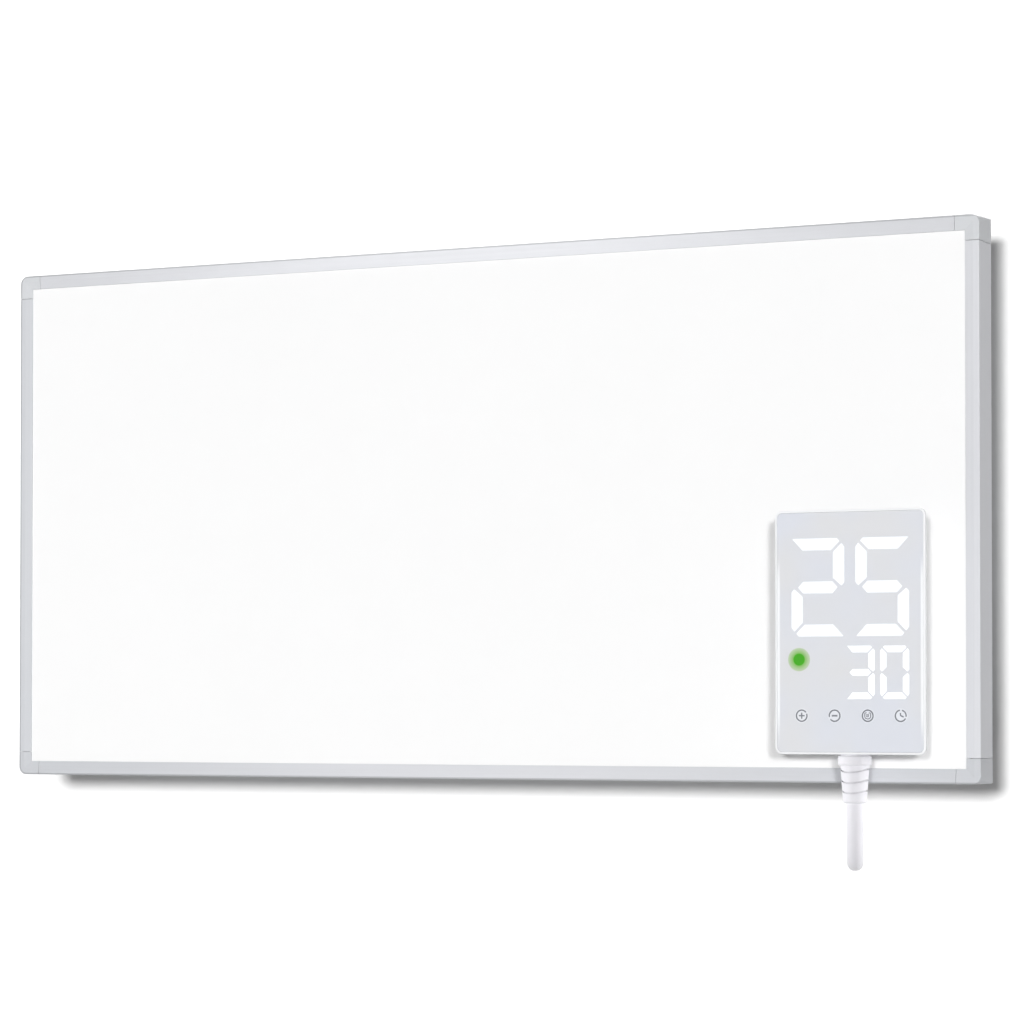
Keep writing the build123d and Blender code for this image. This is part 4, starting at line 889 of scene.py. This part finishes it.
def dress_frame():
    for side, middle, ends, lines in RAILS:
        dress(frame_coat(f"{side}_rail_coat", middle, ends, lines), f"frame_{side}")
    for level, grey in CORNERS:
        plastic = corner_plastic(f"{level}_corner_plastic", grey)
        dress(plastic, f"corner_{level}_left", f"corner_{level}_right")


def dress_panel():
    """The plate, what lies behind it and what holds the panel to the wall."""
    dress(front_enamel("plate_enamel"), "front_plate")
    dress(laminate("heating_laminate"), "heating_film")
    dress(brushed_metal("copper", COPPER, roughness=0.28, along=LINES_ALONG_Z), "busbars")
    dress(bright_foil("reflecting_foil"), "reflector_foil")
    dress(fibre_board("mineral_board"), "insulation_board")
    dress(spangled_zinc("coated_sheet"), "rear_cover")
    dress(brushed_metal("plated_steel", STEEL), "wall_rail", "hanger_brackets", "cutout_bracket")
    dress(brushed_metal("screw_steel", SCREW_STEEL, roughness=0.26, along=NO_LINES), *SCREWS)
    dress(rubber("buffer_rubber", RUBBER_BLACK), "wall_spacers", "wire_grommet", "lead_grommet")


def dress_terminal_box():
    box = moulded("box_plastic", BOX_GREY, roughness=0.5, coarseness=1.0)
    dress(box, "terminal_box_base", "terminal_box_cover", "mains_gland")
    dress(moulded("block_plastic", BLOCK_WHITE, roughness=0.4), "terminal_block", "lead_clamp")
    dress(moulded("sleeve_plastic", SLEEVE_WHITE, roughness=0.5), "stud_spacers")
    dress(rubber("wire_sleeve", WIRE_RED, roughness=0.45), "element_leads")
    dress(brushed_metal("brass", BRASS, roughness=0.25, along=NO_LINES), "earth_stud")
    dress(moulded("ceramic", CERAMIC_WHITE, roughness=0.6, coarseness=0.4), "thermal_cutout")


def dress_control_unit():
    case = moulded("unit_plastic", UNIT_WHITE, roughness=0.34, coarseness=0.5)
    dress(case, "control_bezel", "control_rear_shell")
    dress(screen_glass("screen_glass"), "touch_glass")
    dress(circuit_board("circuit_board"), "display_board")
    dress(moulded("light_block", LIGHT_BLOCK_WHITE, roughness=0.3), "led_display_module")
    dress(lit_plastic("lamp_lens", LENS_GREEN, strength=0.1), "indicator_lens")
    dress(moulded("part_black", PART_BLACK, roughness=0.4), "relay", "power_module", "temperature_sensor")
    dress(lead_sleeve("relief_sleeve", RELIEF_WHITE), "strain_relief")


# which solids have their sharp edges rounded, and by what radius
SOFT_EDGES = (
    (("frame_top", "frame_bottom", "frame_left", "frame_right"), 0.0001),
    (("corner_top_left", "corner_top_right", "corner_bottom_left", "corner_bottom_right"), 0.0001),
    (("control_rear_shell", "terminal_box_base", "terminal_box_cover"), 0.0003),
    (("wall_rail", "hanger_brackets"), 0.0002),
    (("mains_gland", "wall_spacers"), 0.0003),
)
JOINED_DISTANCE = 0.000002
SHARP_ANGLE = math.radians(35)


def soften_edges():
    """Modifiers that join the facets of these solids and round their sharp edges."""
    for names, radius in SOFT_EDGES:
        for name in names:
            weld = nodes[name].modifiers.new("joined", "WELD")
            weld.merge_threshold = JOINED_DISTANCE
            bevel = nodes[name].modifiers.new("soft_edges", "BEVEL")
            bevel.width = radius
            bevel.segments = 2
            bevel.limit_method = "ANGLE"
            bevel.angle_limit = SHARP_ANGLE
            bevel.harden_normals = True


# ---------------------------------------------------------------- light
# angles are in degrees: azimuth to the right of straight ahead, elevation up, spread across the lamp
AMBIENT = 0.24
# the lamps that light the object from the front: (azimuth, strength) each
KEYS = ((28.2, 0.425), (12.6, 0.35))
KEY_ELEVATION = 6.7
KEY_SPREAD = 6.5
# the lamps that light the wall alone and throw the panel's shadow on it
WALL_LIGHT = 1.05
WALL_AZIMUTHS = (3.8, 10.2)
WALL_ELEVATION = 8.3
WALL_SPREAD = 10.0
# the lamps that light the lead and its strain relief alone, one from each side
SIDE_LIGHT = 1.18
SIDE_AZIMUTHS = (-44.6, 95.4)
SIDE_ELEVATION = -6.0
SIDE_SPREAD = 50.0
# the lamp behind, which lights the object's back
FILL_LIGHT = 0.8
FILL_AZIMUTH = -145.0
FILL_ELEVATION = 20.0
FILL_SPREAD = 40.0


def world_light():
    """White to the eye and in reflections, softer as light."""
    world = bpy.data.worlds.new("studio")
    bpy.context.scene.world = world
    world.use_nodes = True
    tree = world.node_tree
    background = tree.nodes["Background"]
    path = tree.nodes.new("ShaderNodeLightPath")
    seen = path.outputs["Is Camera Ray"]
    for name in ("Is Glossy Ray", "Is Transmission Ray"):
        either = tree.nodes.new("ShaderNodeMath")
        either.operation = "MAXIMUM"
        tree.links.new(seen, either.inputs[0])
        tree.links.new(path.outputs[name], either.inputs[1])
        seen = either.outputs[0]
    level = tree.nodes.new("ShaderNodeMapRange")
    tree.links.new(seen, level.inputs["Value"])
    level.inputs["To Min"].default_value = AMBIENT
    level.inputs["To Max"].default_value = 1.0
    background.inputs["Color"].default_value = WHITE
    tree.links.new(level.outputs[0], background.inputs["Strength"])


def far_lamp(name, strength, azimuth, elevation, spread):
    """A soft lamp far away that doesn't show in reflections."""
    data = bpy.data.lights.new(name, "SUN")
    data.energy = strength * math.pi
    data.angle = math.radians(spread)
    lamp = bpy.data.objects.new(name, data)
    bpy.context.scene.collection.objects.link(lamp)
    azimuth, elevation = math.radians(azimuth), math.radians(elevation)
    towards = Vector(
        (
            math.sin(azimuth) * math.cos(elevation),
            -math.cos(azimuth) * math.cos(elevation),
            math.sin(elevation),
        )
    )
    lamp.rotation_mode = "QUATERNION"
    lamp.rotation_quaternion = towards.to_track_quat("Z", "Y")
    lamp.visible_glossy = False
    return lamp


def linked(name, objects, state):
    """A collection for light linking that takes in, or leaves out, these objects."""
    collection = bpy.data.collections.new(name)
    for i, obj in enumerate(objects):
        collection.objects.link(obj)
        collection.collection_objects[i].light_linking.link_state = state
    return collection


def lamps(wall, round_parts):
    """Keys in front and a fill behind light the object; a wash lights the wall, side lamps the lead."""
    spared = [wall, *round_parts]
    for i, (azimuth, strength) in enumerate(KEYS):
        key = far_lamp(f"key_{i + 1}", strength, azimuth, KEY_ELEVATION, KEY_SPREAD)
        key.light_linking.receiver_collection = linked(f"key_{i + 1}_spares", spared, "EXCLUDE")
    for i, azimuth in enumerate(WALL_AZIMUTHS):
        wash = far_lamp(f"wash_{i + 1}", WALL_LIGHT, azimuth, WALL_ELEVATION, WALL_SPREAD)
        wash.light_linking.receiver_collection = linked(f"wash_{i + 1}_lights", [wall], "INCLUDE")
        wash.light_linking.blocker_collection = linked(f"wash_{i + 1}_passes", round_parts, "EXCLUDE")
    for i, azimuth in enumerate(SIDE_AZIMUTHS):
        side = far_lamp(f"side_{i + 1}", SIDE_LIGHT, azimuth, SIDE_ELEVATION, SIDE_SPREAD)
        side.light_linking.receiver_collection = linked(f"side_{i + 1}_lights", round_parts, "INCLUDE")
    fill = far_lamp("fill", FILL_LIGHT, FILL_AZIMUTH, FILL_ELEVATION, FILL_SPREAD)
    fill.light_linking.receiver_collection = linked("fill_spares", spared, "EXCLUDE")


# ---------------------------------------------------------------- stage
STAGE_REACH = 4.0
FLOOR_Z = -1.30
FLOOR_TONE = 0.90
FLOOR_LIFT = 0.50
WALL_Y = 0.002
WALL_TONE = 0.45
# painted light on the wall: lifted least along the panel's right and lower edges, where the panel's shadow
# stays dark, and most elsewhere, which pales the shadow behind the panel
WALL_LIFT_LOW = 0.06
WALL_LIFT_HIGH = 0.36
SHADOW_START_X = 0.20
SHADOW_FULL_X = 0.275
SHADOW_FULL_Z = -0.232
SHADOW_START_Z = -0.18


def paper(name, tone):
    """The tree of a matt grey paper."""
    tree = Tree(name)
    grey = (tone, tone, tone, 1.0)
    fibres = tree.noise(scale=35.0, detail=2.0)
    tree.set(Base_Color=tree.mix(fibres, grey, shade(grey, 1.01)), Roughness=1.0, Specular_IOR_Level=0.0)
    return tree


def lift_for_camera(tree, lift):
    """Adds brightness that the camera alone sees."""
    seen = tree.add("ShaderNodeLightPath").outputs["Is Camera Ray"]
    tree.set(Emission_Color=WHITE, Emission_Strength=tree.math("MULTIPLY", seen, lift))


def clear_from_behind(tree):
    """Lets the paper show from its front only."""
    behind = tree.add("ShaderNodeNewGeometry").outputs["Backfacing"]
    clear = tree.add("ShaderNodeBsdfTransparent").outputs[0]
    joined = tree.add("ShaderNodeMixShader")
    tree.feed(joined.inputs[0], behind)
    tree.feed(joined.inputs[1], tree.shader.outputs[0])
    tree.feed(joined.inputs[2], clear)
    tree.feed(tree.output.inputs["Surface"], joined.outputs[0])


def floor_paper():
    tree = paper("floor_white", FLOOR_TONE)
    lift_for_camera(tree, FLOOR_LIFT)
    return tree.material


def wall_paper():
    tree = paper("wall_white", WALL_TONE)
    x, _, z = tree.axes()
    # painted light that pales the panel's shadow, except along its right and lower edges
    right = tree.spread(x, low=0, high=1, start=SHADOW_START_X, end=SHADOW_FULL_X, smooth=True)
    below = tree.spread(z, low=1, high=0, start=SHADOW_FULL_Z, end=SHADOW_START_Z, smooth=True)
    lift_for_camera(tree, tree.spread(tree.math("MAXIMUM", right, below), WALL_LIFT_HIGH, WALL_LIFT_LOW))
    clear_from_behind(tree)
    return tree.material


def stage_plane(name, corners, material):
    mesh = bpy.data.meshes.new(name)
    mesh.from_pydata(corners, [], [(0, 1, 2, 3)])
    mesh.materials.append(material)
    plane = bpy.data.objects.new(name, mesh)
    bpy.context.scene.collection.objects.link(plane)
    return plane


def backdrop():
    """A floor, and a wall that neither throws light back nor blocks it. Returns the wall."""
    low, high = -STAGE_REACH, STAGE_REACH
    floor = [(low, low, FLOOR_Z), (high, low, FLOOR_Z), (high, high, FLOOR_Z), (low, high, FLOOR_Z)]
    stage_plane("floor", floor, floor_paper())
    wall = [(low, WALL_Y, FLOOR_Z), (high, WALL_Y, FLOOR_Z), (high, WALL_Y, high), (low, WALL_Y, high)]
    wall_plane = stage_plane("wall", wall, wall_paper())
    wall_plane.visible_diffuse = False
    wall_plane.visible_glossy = False
    wall_plane.visible_transmission = False
    wall_plane.visible_shadow = False
    return wall_plane


# ---------------------------------------------------------------- camera
CAMERA_PLACE = (0.82068, -1.72584, -0.19797)
CAMERA_YAW = 25.3901
CAMERA_PITCH = 1.204
CAMERA_LENS = 116.115
CAMERA_SENSOR = 36.0
CAMERA_SHIFT = 0.12
NEAREST_SEEN = 0.05
FARTHEST_SEEN = 50.0


def camera():
    data = bpy.data.cameras.new("camera")
    data.sensor_width = CAMERA_SENSOR
    data.lens = CAMERA_LENS
    data.shift_y = CAMERA_SHIFT
    data.clip_start = NEAREST_SEEN
    data.clip_end = FARTHEST_SEEN
    eye = bpy.data.objects.new("camera", data)
    bpy.context.scene.collection.objects.link(eye)
    eye.location = CAMERA_PLACE
    eye.rotation_euler = (math.radians(90 + CAMERA_PITCH), 0, math.radians(CAMERA_YAW))
    bpy.context.scene.camera = eye


bpy.context.scene.view_settings.view_transform = "Standard"
camera()
world_light()
dress_frame()
dress_panel()
dress_terminal_box()
dress_control_unit()
soften_edges()
digit_pieces()
key_signs()
lamp_disc()
lamps(backdrop(), [link_lead(), nodes["strain_relief"]])
